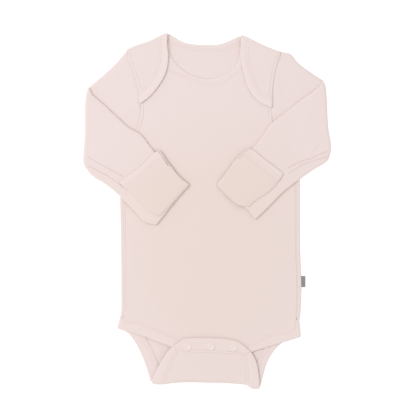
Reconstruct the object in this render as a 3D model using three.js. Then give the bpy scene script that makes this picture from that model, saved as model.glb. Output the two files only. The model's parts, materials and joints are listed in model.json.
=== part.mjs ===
// A baby's long-sleeved bodysuit with lapped shoulders, fold-over mittens and a snap crotch.
// It lies flat on its back, with both sleeves folded at the elbow and laid over its front.
// Millimetres, +Z up, x to the viewer's right, y towards the neck, the cloth resting on z = 0.
import * as THREE from "three";

// Walls and gaps
const CLOTH = 1.0; // one layer of jersey
const BINDING = 1.3; // jersey folded over a raw edge
const SEAM_GAP = 0.3;
const ON_TOP = 0.35; // between a piece and the layer that it lies on

// Heights of the middle of each layer above the table
const BACK_Z = CLOTH / 2;
const BACK_BINDING_Z = BINDING / 2;
const FRONT_Z = 2.3;
const LAP_Z = 4.1; // the back's shoulder laps and its crotch flap, over the front
const FOREARM_UNDER_Z = 3.7;
const FOREARM_TOP_Z = 5.5;
const MITTEN_Z = FOREARM_TOP_Z + CLOTH + ON_TOP;

// The front stands up a little over the middle of the back
const SWELL = { height: 1.2, middleX: 3.6, halfWidth: 92, hem: [-128, -85], neck: [105, 150] };
// At the shoulder the sleeve rises to meet the lap that is sewn in with it
const SHOULDER_RISE = 0.9;

// Side seam: the back wraps round to the front by this much
const SIDE_WRAP = 3.9;
const FOLD_STEPS = 4;
const WIDE_FOLD_STEPS = 6;

// Outlines as laid out. Columns: x, y. Each is the edge of a piece or the seam between two.
const LEFT = {
  shoulder: [[-89.3, 179.2], [-82.2, 182.5], [-74.4, 185.3], [-63.3, 189.1], [-55.6, 193.0]],
  neckPoint: [[-55.6, 193.0], [-50, 195.7], [-44.1, 197.8]],
  armhole: [
    [-89.3, 179.2], [-87.7, 166.4], [-84.4, 158.6], [-81.1, 148.6], [-77.0, 135.3],
    [-74.4, 118.7], [-74.8, 104.0], [-80.0, 88.7], [-87.7, 77.6], [-96.1, 69.8],
  ],
  lapEdge: [
    [-44.1, 197.8], [-44.5, 184.1], [-43.2, 173.0], [-45.0, 156.4], [-51.1, 143.1],
    [-63.3, 127.5], [-74.4, 118.7],
  ],
  lapSeam: [
    [-55.6, 193.0], [-55.6, 167.5], [-60.0, 153.1], [-68.9, 139.9], [-76.4, 132.4],
  ],
  side: [
    [-96.1, 69.8], [-96.6, 14.3], [-95.8, -32.3], [-95.3, -92.2], [-95.6, -112.2],
    [-97.1, -119.0],
  ],
  hip: [-99.7, -130.3],
  legFrontSeam: [
    [-97.1, -119.0], [-82.2, -120.5], [-71.1, -122.8], [-52.2, -131.1], [-30.0, -141.6],
    [-22.5, -150.0], [-21.5, -166.0],
  ],
  legFrontEdge: [
    [-99.7, -130.3], [-88.9, -133.4], [-68.9, -139.4], [-52.2, -146.1], [-41.0, -150.5],
    [-34.0, -157.0], [-32.5, -166.0],
  ],
  legBackSeam: [
    [-97.1, -119.0], [-80.0, -126.0], [-69.4, -139.4], [-60.5, -155.0], [-53.0, -174.0],
    [-46.7, -192.7],
  ],
  legBackEdge: [
    [-99.7, -130.3], [-88.9, -134.4], [-79.8, -145.5], [-70.1, -165.5], [-61.7, -191.6],
  ],
  flapSeam: [[-46.7, -192.7], [-43.3, -184.4], [-38.9, -173.3], [-32.2, -157.9]],
  flapEdge: [
    [-61.7, -191.6], [-58.3, -182.2], [-47.8, -162.2], [-42.2, -154.4], [-35.6, -148.6],
  ],
};
const RIGHT = {
  shoulder: [[82.6, 176.7], [74.3, 179.4], [61.0, 184.8], [54.3, 188.0], [48.2, 191.3]],
  neckPoint: [[48.2, 191.3], [43.5, 193.6], [37.7, 195.2]],
  armhole: [
    [82.6, 176.7], [77.6, 160.8], [74.3, 145.3], [72.6, 128.6], [72.0, 114.5],
    [72.9, 98.7], [77.6, 85.4], [87.6, 75.4], [103.2, 66.5],
  ],
  lapEdge: [
    [37.7, 195.2], [37.7, 184.1], [37.1, 173.0], [41.0, 152.0], [47.7, 133.1],
    [58.8, 120.9], [72.0, 114.5],
  ],
  lapSeam: [[48.2, 191.3], [48.5, 167.5], [54.3, 146.4], [62.0, 132.6], [72.5, 127.2]],
  side: [
    [103.2, 66.5], [103.2, -32.3], [104.2, -65.6], [104.8, -85.6], [103.8, -112.2],
    [102.6, -121.5],
  ],
  hip: [104.2, -139.4],
  legFrontSeam: [
    [102.6, -121.5], [98.4, -124.5], [93.5, -130.3], [72.1, -135.0], [61.0, -138.9],
    [50.0, -145.0], [39.0, -152.0], [34.5, -168.0],
  ],
  legFrontEdge: [
    [104.2, -139.4], [81.0, -146.6], [58.8, -153.3], [49.9, -156.6], [46.0, -161.0],
    [44.5, -168.0],
  ],
  legBackSeam: [
    [102.6, -121.5], [86.0, -131.0], [72.0, -142.0], [58.0, -162.0], [50.0, -180.0],
    [42.1, -192.9],
  ],
  legBackEdge: [
    [104.2, -139.4], [92.1, -141.1], [76.5, -152.2], [66.0, -169.5], [61.9, -183.3],
    [58.0, -197.4],
  ],
  flapSeam: [[42.1, -192.9], [41.6, -182.2], [40.4, -170.0], [39.9, -160.8]],
  flapEdge: [[58.0, -197.4], [57.2, -183.8], [53.7, -165.5], [48.0, -155.8]],
};
const BACK_NECK_SEAM = [
  [-55.6, 193.0], [-40.0, 184.1], [-30.0, 180.2], [-18.9, 176.9], [-2.3, 175.3],
  [22.1, 177.2], [36.6, 183.7], [48.2, 191.3],
];
const BACK_NECK_EDGE = [
  [-44.1, 197.8], [-32.2, 190.1], [-25.6, 186.8], [-18.9, 185.2], [1.1, 183.9],
  [14.4, 184.8], [27.7, 189.9], [37.7, 195.2],
];
const FRONT_NECK_EDGE = [
  [-43.5, 186.0], [-40.0, 171.9], [-32.2, 160.8], [-18.9, 151.4], [-2.3, 146.4],
  [8.8, 147.0], [22.0, 152.2], [32.1, 161.0], [36.6, 172.3], [38.5, 183.0],
];
const FRONT_NECK_SEAM = [
  [-54.6, 186.0], [-52.2, 171.0], [-44.5, 154.5], [-25.6, 145.4], [-7.8, 138.9],
  [2.0, 137.3], [14.4, 140.0], [25.5, 146.0], [39.9, 158.5], [47.7, 170.0],
  [49.6, 183.0],
];
const CROTCH_FOLD = [
  [-46.7, -192.7], [-38.9, -191.3], [-18.9, -190.3], [1.1, -190.8], [21.0, -191.2],
  [42.1, -192.9],
];
const CROTCH_FOLD_LEFT = [[-46.7, -192.7], [-56.5, -192.6], [-61.7, -191.6]];
const CROTCH_FOLD_RIGHT = [[42.1, -192.9], [49.5, -197.2], [58.0, -197.4]];
const PLACKET_SEAM = [[-32.2, -157.9], [-16.7, -158.5], [8.8, -159.2], [39.9, -160.8]];
const FLAP_TOP = [
  [-35.6, -148.6], [-25.6, -142.3], [-8.9, -141.1], [14.4, -141.7], [26.6, -143.1],
  [36.6, -146.6], [48.0, -155.8],
];

// Sleeves, flattened and folded at the elbow. Columns: x, y. The hand end of each is the last row.
const LEFT_SLEEVE = {
  side: -1,
  armhole: LEFT.armhole,
  top: [
    [-89.3, 179.2], [-98.8, 166.5], [-112.2, 153.2], [-125.5, 142.0], [-134.0, 134.8],
  ],
  under: [[-96.1, 69.8], [-115, 59], [-136.0, 46.5]],
  elbow: [
    [-134.0, 134.8], [-135.6, 114.2], [-136.1, 80.9], [-137.6, 56.0], [-136.0, 46.5],
  ],
  upper: [
    [-134.0, 134.8], [-118.8, 122.0], [-96.6, 101.5], [-87.7, 93.1], [-74.4, 85.4],
    [-62.0, 70.0], [-43.0, 48.0], [-22.5, 26.5],
  ],
  lower: [
    [-136.0, 46.5], [-125.5, 37.5], [-112.2, 29.4], [-98.8, 18.5], [-80.0, -0.1],
    [-68.5, -12.0], [-56.5, -15.3],
  ],
  cuff: [[-22.5, 26.5], [-38.5, 7.5], [-49.0, -6.0], [-56.5, -15.3]],
};
const RIGHT_SLEEVE = {
  side: 1,
  armhole: RIGHT.armhole,
  top: [
    [82.6, 176.7], [92.5, 174.2], [101.0, 164.4], [114.3, 154.2], [130.9, 143.1],
  ],
  under: [[103.2, 66.5], [119, 60], [134.1, 54.3]],
  elbow: [
    [130.9, 143.1], [132.7, 127.0], [134.3, 94.2], [137.6, 69.0], [134.1, 54.3],
  ],
  upper: [
    [130.9, 143.1], [116.5, 132.0], [99.8, 119.8], [82.1, 105.3], [71.0, 96.5],
    [61.0, 82.0], [46.0, 63.5], [33.0, 52.5], [15.0, 28.0],
  ],
  lower: [
    [134.1, 54.3], [120.9, 47.4], [107.6, 38.6], [84.3, 21.0], [67.7, 4.3],
    [53.2, -9.5],
  ],
  cuff: [[15.0, 28.0], [28.0, 14.5], [38.0, 6.8], [46.5, 0.0], [53.2, -9.5]],
};

// Mittens: pouches turned back over the cuffs, with a hemmed opening. Columns: x, y.
const LEFT_MITTEN = {
  opening: [[-96.6, 31.6], [-80.0, 44.3], [-68.9, 53.2], [-60.0, 62.8], [-52.2, 67.0]],
  hemSeam: [[-88.9, 23.2], [-75.0, 33.5], [-66.7, 40.0], [-58.0, 49.6], [-44.6, 56.2]],
  upper: [[-44.6, 56.2], [-38.9, 48.7], [-32.2, 40.2], [-25.6, 34.0], [-18.6, 29.3]],
  end: [[-18.6, 29.3], [-32.2, 14.9], [-42.0, 4.0], [-52.5, -6.6]],
  lower: [[-88.9, 23.2], [-80.0, 15.4], [-68.9, 4.8], [-62.0, -1.6], [-52.5, -6.6]],
};
const RIGHT_MITTEN = {
  opening: [[84.3, 41.5], [69.9, 52.6], [61.0, 59.3], [54.3, 65.0], [47.7, 69.4]],
  hemSeam: [[79.0, 32.5], [64.5, 44.8], [55.5, 51.6], [48.5, 57.0], [38.8, 64.4]],
  upper: [[38.8, 64.4], [31.0, 56.5], [25.5, 48.7], [17.7, 38.2], [10.5, 29.3]],
  end: [[10.5, 29.3], [16.6, 21.8], [28.8, 10.8], [36.6, 5.6], [46.5, 4.6]],
  lower: [[79.0, 32.5], [72.5, 23.5], [63.2, 14.6], [55.0, 9.0], [46.5, 4.6]],
};
const MITTEN_LIP = { radius: 1.6, drop: 0.8, steps: 3 };

// Soft folds in the upper layers. Columns: x and y of one end, of the other, half width, height.
const FRONT_FOLDS = [
  [-84, -20, -86, -80, 6, 0.6],
  [88, 0, 90, -70, 6, 0.6],
  [-20, -60, -26, -118, 8, 0.5],
  [34, -66, 42, -120, 8, 0.5],
];
const SLEEVE_FOLDS = [
  [-130, 70, -104, 62, 5, 0.7],
  [-128, 56, -100, 44, 4, 0.6],
  [-124, 112, -106, 92, 6, 0.5],
  [132, 76, 108, 66, 5, 0.7],
  [128, 62, 96, 50, 4, 0.6],
  [122, 116, 104, 96, 6, 0.5],
];

// Snaps and label
const SNAP = {
  radius: 4.3, height: 1.5, rim: 0.8, bevel: 0.3, ring: [2.6, 3.6], well: [1.9, 1.0], middle: 1.1,
  lift: 0.1, segments: 20,
};
const SNAP_PLACES = { left: [-21.7, -150.8], middle: [4.4, -150.6], right: [29.4, -151.8] };
const LABEL = { x: [105.2, 109.0], y: [-84.5, -72.3], z: 1.4, thickness: 1.0, steps: 4 };

// Colours of the real materials
const jersey = { color: "#ecdbd8", roughness: 0.9, metalness: 0 };
const bindingJersey = { color: "#ead6d3", roughness: 0.9, metalness: 0 };
const snapPlastic = { color: "#e4c6c2", roughness: 0.45, metalness: 0 };
const labelRibbon = { color: "#8f9093", roughness: 0.8, metalness: 0 };

const smooth = THREE.MathUtils.smoothstep;
const last = (list) => list[list.length - 1];
const steps = (count) => Array.from({ length: count + 1 }, (_, i) => i / count);

function curve(rows) {
  const knots = rows.map(([x, y]) => new THREE.Vector3(x, y, 0));
  return new THREE.CatmullRomCurve3(knots, false, "centripetal");
}

// Points along an outline, at fractions of its length.
function along(rows, fractions) {
  const line = curve(rows);
  line.arcLengthDivisions = TRIES;
  return fractions.map((t) => line.getPointAt(t));
}

// The fraction of an outline's length that lies nearest to a point.
function fractionNear(rows, [x, y]) {
  const tries = steps(TRIES);
  const spots = along(rows, tries);
  const distances = spots.map((p) => Math.hypot(p.x - x, p.y - y));
  return tries[distances.indexOf(Math.min(...distances))];
}

const between = (from, to, count) => steps(count).map((t) => from + (to - from) * t);
const chain = (...runs) => runs.reduce((all, run) => [...all, ...run.slice(1)]);
const reversed = (list) => [...list].reverse();

// A run of points moved sideways in plan, to the left of its direction where distance is positive.
function shifted(run, distance) {
  return run.map((p, i) => {
    const before = run[Math.max(i - 1, 0)];
    const after = run[Math.min(i + 1, run.length - 1)];
    const way = new THREE.Vector3().subVectors(after, before).setZ(0).normalize();
    return new THREE.Vector3(p.x - way.y * distance, p.y + way.x * distance, p.z);
  });
}

// A grid of points between four runs: straight from run to run, bent to meet all four.
function coons(left, right, bottom, top, across = null) {
  const rows = left.length - 1;
  const columns = bottom.length - 1;
  const low = [left[0], ...bottom.slice(1, -1), right[0]];
  const high = [last(left), ...top.slice(1, -1), last(right)];
  return left.map((_, j) => {
    const v = j / rows;
    return low.map((__, i) => {
      const u = across ? across[i] : i / columns;
      const mix = (name) =>
        (1 - u) * left[j][name] + u * right[j][name] +
        (1 - v) * low[i][name] + v * high[i][name] -
        (1 - v) * ((1 - u) * low[0][name] + u * low[columns][name]) -
        v * ((1 - u) * high[0][name] + u * high[columns][name]);
      return new THREE.Vector3(mix("x"), mix("y"), 0);
    });
  });
}

// How far the layers above the back stand up at a place, beyond their flat height.
function swell(x, y) {
  const { height, middleX, halfWidth, hem, neck } = SWELL;
  const side = Math.max(0, 1 - ((x - middleX) / halfWidth) ** 2);
  return height * side * smooth(y, ...hem) * (1 - smooth(y, ...neck));
}

// The height of soft folds at a place: each a ridge along a line, fading to both sides and ends.
function folds(table, x, y) {
  return table.reduce((sum, [x0, y0, x1, y1, half, height]) => {
    const length = Math.hypot(x1 - x0, y1 - y0);
    const way = [(x1 - x0) / length, (y1 - y0) / length];
    const ahead = (x - x0) * way[0] + (y - y0) * way[1];
    const aside = (x - x0) * way[1] - (y - y0) * way[0];
    const middle = (2 * ahead) / length - 1;
    const fade = Math.max(0, 1 - middle * middle) ** 2;
    return sum + height * fade * Math.exp(-((aside / half) ** 2));
  }, 0);
}

const atHeight = (height) => (p) => new THREE.Vector3(p.x, p.y, height);
const atLayer = (height) => (p) => new THREE.Vector3(p.x, p.y, height + swell(p.x, p.y));
const lay = (rows, place) => rows.map((row) => row.map(place));

// A fold's rows: from a run at one height, out and round a half circle, to the same run higher up.
function foldRows(run, outward, low, high, count) {
  const radius = (high - low) / 2;
  return steps(count).map((t) => {
    const turn = Math.PI * t;
    return run.map((p, i) => {
      const way = outward[i];
      const out = radius * Math.sin(turn);
      return new THREE.Vector3(
        p.x + way.x * out, p.y + way.y * out, low + radius * (1 - Math.cos(turn)),
      );
    });
  });
}

// Unit directions square to a run in plan, to its left or right.
function sideways(run, sign) {
  const moved = shifted(run, sign);
  return run.map((p, i) => new THREE.Vector3(moved[i].x - p.x, moved[i].y - p.y, 0));
}

// The middle surface of a wall: grids of points that share their common edges.
class Sheet {
  constructor() {
    this.points = [];
    this.faces = [];
    this.known = new Map();
  }

  number(p) {
    const key = [p.x, p.y, p.z].map((v) => Math.round(v * PARTS_OF_MM)).join(" ");
    if (!this.known.has(key)) {
      this.known.set(key, this.points.length);
      this.points.push(p);
    }
    return this.known.get(key);
  }

  grid(rows) {
    const numbers = rows.map((row) => row.map((p) => this.number(p)));
    for (let j = 0; j + 1 < rows.length; j += 1) {
      for (let i = 0; i + 1 < rows[j].length; i += 1) {
        const corners = [
          numbers[j][i], numbers[j][i + 1], numbers[j + 1][i + 1], numbers[j + 1][i],
        ];
        const distinct = corners.filter((n, k) => n !== corners[(k + 1) % 4]);
        if (distinct.length > 2) this.faces.push(distinct);
      }
    }
    return this;
  }

  // Turns faces so that neighbours agree on which side is up.
  orient() {
    const byEdge = new Map();
    const edges = (face) => face.map((n, k) => [n, face[(k + 1) % face.length]]);
    const name = (a, b) => Math.min(a, b) + " " + Math.max(a, b);
    this.faces.forEach((face, f) => {
      for (const [a, b] of edges(face)) {
        byEdge.set(name(a, b), [...(byEdge.get(name(a, b)) ?? []), f]);
      }
    });
    const done = new Set([0]);
    const waiting = [0];
    while (waiting.length) {
      const face = this.faces[waiting.pop()];
      for (const [a, b] of edges(face)) {
        for (const other of byEdge.get(name(a, b))) {
          if (done.has(other)) continue;
          const same = edges(this.faces[other]).some(([c, d]) => c === a && d === b);
          if (same) this.faces[other].reverse();
          done.add(other);
          waiting.push(other);
        }
      }
    }
  }

  normals() {
    const sums = this.points.map(() => new THREE.Vector3());
    for (const face of this.faces) {
      const [a, b, c, d] = face.map((n) => this.points[n]);
      const one = new THREE.Vector3().subVectors(c, a);
      const two = new THREE.Vector3().subVectors(d ?? c, b);
      if (!d) one.subVectors(b, a);
      const normal = one.cross(two);
      for (const n of face) sums[n].add(normal);
    }
    return sums.map((sum) => sum.normalize());
  }

  // The closed wall of a thickness with this sheet as its middle.
  wall(thickness) {
    this.orient();
    const normals = this.normals();
    const count = this.points.length;
    const place = (sign) =>
      this.points.flatMap((p, n) =>
        p.clone().addScaledVector(normals[n], (sign * thickness) / 2).toArray(),
      );
    const triangles = [];
    const open = new Map();
    for (const face of this.faces) {
      for (let k = 1; k + 1 < face.length; k += 1) {
        const [a, b, c] = [face[0], face[k], face[k + 1]];
        triangles.push(a, b, c, count + c, count + b, count + a);
      }
      face.forEach((a, k) => {
        const b = face[(k + 1) % face.length];
        if (!open.delete(b + " " + a)) open.set(a + " " + b, [a, b]);
      });
    }
    for (const [a, b] of open.values()) {
      triangles.push(b, a, count + a, b, count + a, count + b);
    }
    const geometry = new THREE.BufferGeometry();
    const positions = new Float32Array([...place(1), ...place(-1)]);
    geometry.setAttribute("position", new THREE.BufferAttribute(positions, 3));
    geometry.setIndex(triangles);
    geometry.computeVertexNormals();
    return geometry;
  }
}

const garment = new THREE.Group();

function add(name, geometry, look) {
  const mesh = new THREE.Mesh(geometry, new THREE.MeshStandardMaterial(look));
  mesh.name = name;
  garment.add(mesh);
}

// Where a fold's outer skin reaches the outline, its axis lies this far inside.
const foldInset = (low, high, wall) => (high - low) / 2 + wall / 2;
const SIDE_INSET = foldInset(BACK_Z, FRONT_Z, CLOTH);
const LAP_INSET = foldInset(BACK_Z, LAP_Z, CLOTH);
const BINDING_SIDE_INSET = foldInset(BACK_BINDING_Z, FRONT_Z, BINDING);
const BINDING_LAP_INSET = foldInset(BACK_BINDING_Z, LAP_Z, BINDING);
const GAP = SEAM_GAP / 2;

// Steps along the edges of the pieces, the same on both sides of a seam
const STEPS = {
  leg: 10, side: 9, shoulder: 4, neck: 10, frontNeck: 14, flap: 4,
  placket: 8, mitten: 6, mittenAcross: 7,
};
// A sleeve's tip at the elbow lies this far beyond its top edge; its shoulder's rise fades out
// between these fractions of the armhole
const SLEEVE = {
  upperRows: 6, foreRows: 10, foldSteps: 6, across: 9, roundness: 0.01, tip: 2,
  riseFade: [0.3, 0.6],
};
const ACROSS = STEPS.shoulder * 2 + STEPS.neck;
// The back's rounded side ends this far below the sleeve
const UNDERARM_CLEAR = 1.4;
// The front's corner at the underarm lies this far up the armhole
const FRONT_CORNER_RISE = 4;
// Fractions of the armhole: where the shoulder fold and the front's shoulder meet it, how far
// the lap's cut edge and its binding's end stay from the lap's seam, and the least step
const SHOULDER_START = 0.018;
const FRONT_SHOULDER_START = 0.035;
const LAP_CUT_CLEAR = 0.01;
const LAP_END_CLEAR = 0.003;
const LEAST_STEP = 0.01;
// Fractions of their own length: where the shoulder fold starts and where the lap's seam stops
const SHOULDER_FOLD_START = 0.02;
const LAP_SEAM_END = 0.985;
// Places tried along an outline to find a point on it
const TRIES = 400;
// Points are one point if they agree to a thousandth of a millimetre
const PARTS_OF_MM = 1000;

// Points on the armhole's polyline, which the sleeve and the torso share, between two fractions.
function armholeRun(half, from, to) {
  const knots = between(SLEEVE.roundness, 1 - SLEEVE.roundness, SLEEVE.across - 1);
  const spots = along(half.armhole, knots);
  const [low, high] = [Math.min(from, to), Math.max(from, to)];
  const inside = knots.filter((t) => t > low + LEAST_STEP && t < high - LEAST_STEP);
  const run = [low, ...inside, high].map((t) => {
    const after = Math.max(1, knots.findIndex((knot) => knot >= t));
    const share = (t - knots[after - 1]) / (knots[after] - knots[after - 1]);
    return spots[after - 1].clone().lerp(spots[after], share);
  });
  return from < to ? run : reversed(run);
}

// A run with a point added in the middle of each step.
const halved = (run) =>
  chain(...run.slice(1).map((p, i) => [run[i], run[i].clone().lerp(p, 0.5), p]));

// The seams that two pieces share on one side, as runs on the table. Inward is -1 on the left.
function seams(half, inward) {
  const lapFoot = fractionNear(half.armhole, last(half.lapSeam));
  const lapToe = fractionNear(half.armhole, last(half.lapEdge));
  const lapCut = halved(armholeRun(half, SHOULDER_START, lapFoot - LAP_CUT_CLEAR));
  const lapSteps = steps(lapCut.length - 1).map((t) => t * LAP_SEAM_END);
  const sideRun = along(half.side, between(1, 0, STEPS.side));
  const wrap = shifted(sideRun, inward * (SIDE_WRAP + GAP));
  const corner = steps(TRIES).find((t) => {
    const [p] = along(half.legFrontSeam, [t]);
    return inward * (p.x - wrap[0].x) < 0;
  });
  const shoulder = along(half.shoulder, between(SHOULDER_FOLD_START, 1, STEPS.shoulder));
  return {
    lapCut,
    lapEnd: armholeRun(half, lapFoot + LAP_END_CLEAR, lapToe),
    lapSeam: along(half.lapSeam, lapSteps),
    axis: shifted(shoulder, inward * LAP_INSET),
    side: shifted(sideRun, inward * SIDE_INSET),
    wrap,
    legBack: along(half.legBackSeam, steps(STEPS.leg)),
    legFront: along(half.legFrontSeam, between(corner, 1, STEPS.leg)),
    flap: along(half.flapSeam, steps(STEPS.flap)),
  };
}

const leftSeams = seams(LEFT, -1);
const rightSeams = seams(RIGHT, 1);
const neckSeam = along(BACK_NECK_SEAM, steps(STEPS.neck));
const frontNeckSeam = along(FRONT_NECK_SEAM, steps(STEPS.frontNeck));
last(leftSeams.axis).x -= GAP;
last(rightSeams.axis).x += GAP;
const crotchAxis = shifted(along(CROTCH_FOLD, steps(ACROSS)), LAP_INSET);
crotchAxis[0].x += GAP;
last(crotchAxis).x -= GAP;

const TOWARDS_FEET = new THREE.Vector3(0, -1, 0);

// One edge of the back, from the crotch fold to the shoulder fold.
function backEdge(half, run, inward, foot) {
  const leg = shifted(reversed(run.legBack), inward * GAP);
  const side = run.side.map((p) => p.clone());
  const ends = armholeRun(half, 1 - SLEEVE.roundness, SHOULDER_START);
  const armhole = shifted(ends, inward * GAP);
  side[0].y += GAP;
  armhole[0].x = last(side).x;
  armhole[0].y -= UNDERARM_CLEAR;
  leg[0] = foot;
  leg[STEPS.leg] = side[0];
  side[STEPS.side] = armhole[0];
  armhole[armhole.length - 1] = run.axis[0];
  return chain(leg, side, armhole);
}

function backPanel() {
  const sheet = new Sheet();
  const left = backEdge(LEFT, leftSeams, -1, crotchAxis[0]);
  const right = backEdge(RIGHT, rightSeams, 1, last(crotchAxis));
  const neck = shifted(neckSeam, -GAP);
  neck[0] = last(leftSeams.axis);
  neck[STEPS.neck] = last(rightSeams.axis);
  const top = chain(leftSeams.axis, neck, reversed(rightSeams.axis));
  const base = coons(left, right, crotchAxis, top);
  sheet.grid(lay(base, atHeight(BACK_Z)));

  const sideRange = [STEPS.leg, STEPS.leg + STEPS.side + 1];
  for (const [edge, sign] of [[left, 1], [right, -1]]) {
    const run = edge.slice(...sideRange);
    const outward = sideways(run, sign);
    const rows = foldRows(run, outward, BACK_Z, FRONT_Z, FOLD_STEPS);
    const reach = SIDE_WRAP - SIDE_INSET - GAP;
    rows.push(last(rows).map((p, i) => p.clone().addScaledVector(outward[i], -reach)));
    sheet.grid(rows);
  }

  for (const [run, inward] of [[leftSeams, -1], [rightSeams, 1]]) {
    const outward = sideways(run.axis, -inward);
    sheet.grid(foldRows(run.axis, outward, BACK_Z, LAP_Z, WIDE_FOLD_STEPS));
    const cut = shifted(run.lapCut, -inward * GAP);
    const seam = shifted(run.lapSeam, inward * GAP);
    cut[0] = run.axis[0];
    seam[0] = last(run.axis);
    const end = steps(STEPS.shoulder).map((t) => last(cut).clone().lerp(last(seam), t));
    sheet.grid(lay(coons(cut, seam, run.axis, end), atLayer(LAP_Z)));
  }

  const downward = crotchAxis.map(() => TOWARDS_FEET);
  sheet.grid(foldRows(crotchAxis, downward, BACK_Z, LAP_Z, WIDE_FOLD_STEPS));
  const flapLeft = shifted(leftSeams.flap, -GAP);
  const flapRight = shifted(rightSeams.flap, GAP);
  flapLeft[0] = crotchAxis[0];
  flapRight[0] = last(crotchAxis);
  last(flapLeft).y -= GAP;
  last(flapRight).y -= GAP;
  const placketSeam = shifted(along(PLACKET_SEAM, steps(ACROSS)), -GAP);
  const flap = coons(flapLeft, flapRight, crotchAxis, placketSeam);
  sheet.grid(lay(flap, atHeight(LAP_Z)));
  return sheet.wall(CLOTH);
}

// One edge of the front: from the crotch tab round the leg and up the side to the shoulder.
function frontEdge(half, run, inward) {
  const leg = shifted(reversed(run.legFront), inward * GAP);
  const wrap = run.wrap.map((p) => p.clone());
  const foot = fractionNear(half.armhole, [last(wrap).x, last(wrap).y + FRONT_CORNER_RISE]);
  const armhole = shifted(armholeRun(half, foot, FRONT_SHOULDER_START), inward * GAP);
  wrap[0] = last(leg);
  wrap[STEPS.side] = armhole[0];
  return chain(leg, wrap, armhole);
}

function frontPanel() {
  const left = frontEdge(LEFT, leftSeams, -1);
  const right = frontEdge(RIGHT, rightSeams, 1);
  const neck = shifted(frontNeckSeam, -GAP);
  const straight = (a, b) => steps(STEPS.shoulder).map((t) => a.clone().lerp(b, t));
  const top = chain(straight(last(left), neck[0]), neck, straight(last(neck), last(right)));
  const bottom = steps(top.length - 1).map((t) => left[0].clone().lerp(right[0], t));
  const height = (p) => {
    const stands = swell(p.x, p.y) + folds(FRONT_FOLDS, p.x, p.y);
    return new THREE.Vector3(p.x, p.y, FRONT_Z + stands);
  };
  return new Sheet().grid(lay(coons(left, right, bottom, top), height)).wall(CLOTH);
}

// A binding: rows across it, each from its seam to its free edge.
function rowsAcross(seam, edge) {
  return seam.map((p, i) => [p, p.clone().lerp(edge[i], 0.5), edge[i]]);
}

function frontNeckBinding() {
  const seam = shifted(frontNeckSeam, GAP);
  const edge = along(FRONT_NECK_EDGE, steps(STEPS.frontNeck));
  return new Sheet().grid(lay(rowsAcross(seam, edge), atLayer(FRONT_Z))).wall(BINDING);
}

// The back's binding: up one lap's edge, over its shoulder, round the neck and down the other.
function backNeckBinding() {
  const sheet = new Sheet();
  const halves = [[LEFT, leftSeams, 1], [RIGHT, rightSeams, -1]];
  const ends = halves.map(([half, run, sign]) => {
    const row = shifted(along(half.neckPoint, [0, 0.5, 1]), -sign * BINDING_LAP_INSET);
    row[0] = last(run.axis).clone();
    row[0].x += 2 * sign * GAP;
    const [low, high] = shifted([run.lapEnd[0], last(run.lapEnd)], sign * GAP);
    const seam = [...shifted(run.lapSeam, sign * GAP), low];
    const edge = along(half.lapEdge, steps(seam.length - 1));
    edge[edge.length - 1] = high;
    const lap = rowsAcross(seam, edge);
    lap[0] = row;
    sheet.grid(lay(lap, atLayer(LAP_Z)));
    const outward = sideways(row, sign);
    sheet.grid(foldRows(row, outward, BACK_BINDING_Z, LAP_Z, WIDE_FOLD_STEPS));
    return row;
  });
  const edge = along(BACK_NECK_EDGE, steps(STEPS.neck));
  const base = rowsAcross(shifted(neckSeam, GAP), edge);
  [base[0], base[STEPS.neck]] = ends;
  sheet.grid(lay(base, atHeight(BACK_BINDING_Z)));
  return sheet.wall(BINDING);
}

// A leg's binding: along the front of the leg, round the side, down the back of the leg,
// round the crotch fold and up the flap.
function legBinding(half, run, crotch, sign) {
  const crotchEnd = sign > 0 ? crotchAxis[0] : last(crotchAxis);
  const sheet = new Sheet();
  const inset = sign * BINDING_SIDE_INSET;
  const [waistX, waistY] = half.legBackSeam[0];
  const waist = new THREE.Vector3(waistX + inset, waistY - GAP, 0);
  const hip = new THREE.Vector3(half.hip[0] + inset, half.hip[1], 0);
  const side = [waist, waist.clone().lerp(hip, 0.5), hip];
  const fold = shifted(along(crotch, [0, 0.5, 1]), -sign * BINDING_LAP_INSET);
  fold[0].x = crotchEnd.x - sign * SEAM_GAP;

  const frontSeam = shifted([waist, ...run.legFront], -sign * GAP);
  const frontEdgeRun = along(half.legFrontEdge, steps(frontSeam.length - 1));
  const front = rowsAcross(frontSeam, frontEdgeRun);
  front[0] = side;
  sheet.grid(lay(front, atHeight(FRONT_Z)));
  sheet.grid(foldRows(side, sideways(side, -sign), BACK_BINDING_Z, FRONT_Z, FOLD_STEPS));

  const backEdgeRun = along(half.legBackEdge, steps(STEPS.leg));
  const back = rowsAcross(shifted(run.legBack, -sign * GAP), backEdgeRun);
  back[0] = side;
  back[STEPS.leg] = fold;
  sheet.grid(lay(back, atHeight(BACK_BINDING_Z)));
  const downward = fold.map(() => TOWARDS_FEET);
  sheet.grid(foldRows(fold, downward, BACK_BINDING_Z, LAP_Z, WIDE_FOLD_STEPS));

  const flap = rowsAcross(
    shifted(run.flap, sign * GAP), along(half.flapEdge, steps(STEPS.flap)),
  );
  flap[0] = fold;
  last(flap).forEach((p) => {
    p.x -= sign * GAP;
  });
  sheet.grid(lay(flap, atHeight(LAP_Z)));
  return sheet.wall(BINDING);
}

function placket() {
  const low = along(PLACKET_SEAM, steps(STEPS.placket));
  const high = along(FLAP_TOP, steps(STEPS.placket));
  for (const run of [low, high]) {
    run[0].x += GAP;
    last(run).x -= GAP;
  }
  const rows = rowsAcross(shifted(low, GAP), high);
  return new Sheet().grid(lay(rows, atHeight(LAP_Z))).wall(BINDING);
}

// The places round a flattened sleeve: columns of its plan grid, and which layer from -1 to 1.
function ring() {
  const middle = Array.from({ length: SLEEVE.across }, (_, i) => i + 2);
  const end = SLEEVE.across + 3;
  const half = Math.SQRT1_2;
  return [
    ...middle.map((c) => [c, 1]), [end - 1, half], [end, 0], [end - 1, -half],
    ...reversed(middle).map((c) => [c, -1]), [1, -half], [0, 0], [1, half],
    [middle[0], 1],
  ];
}

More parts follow.
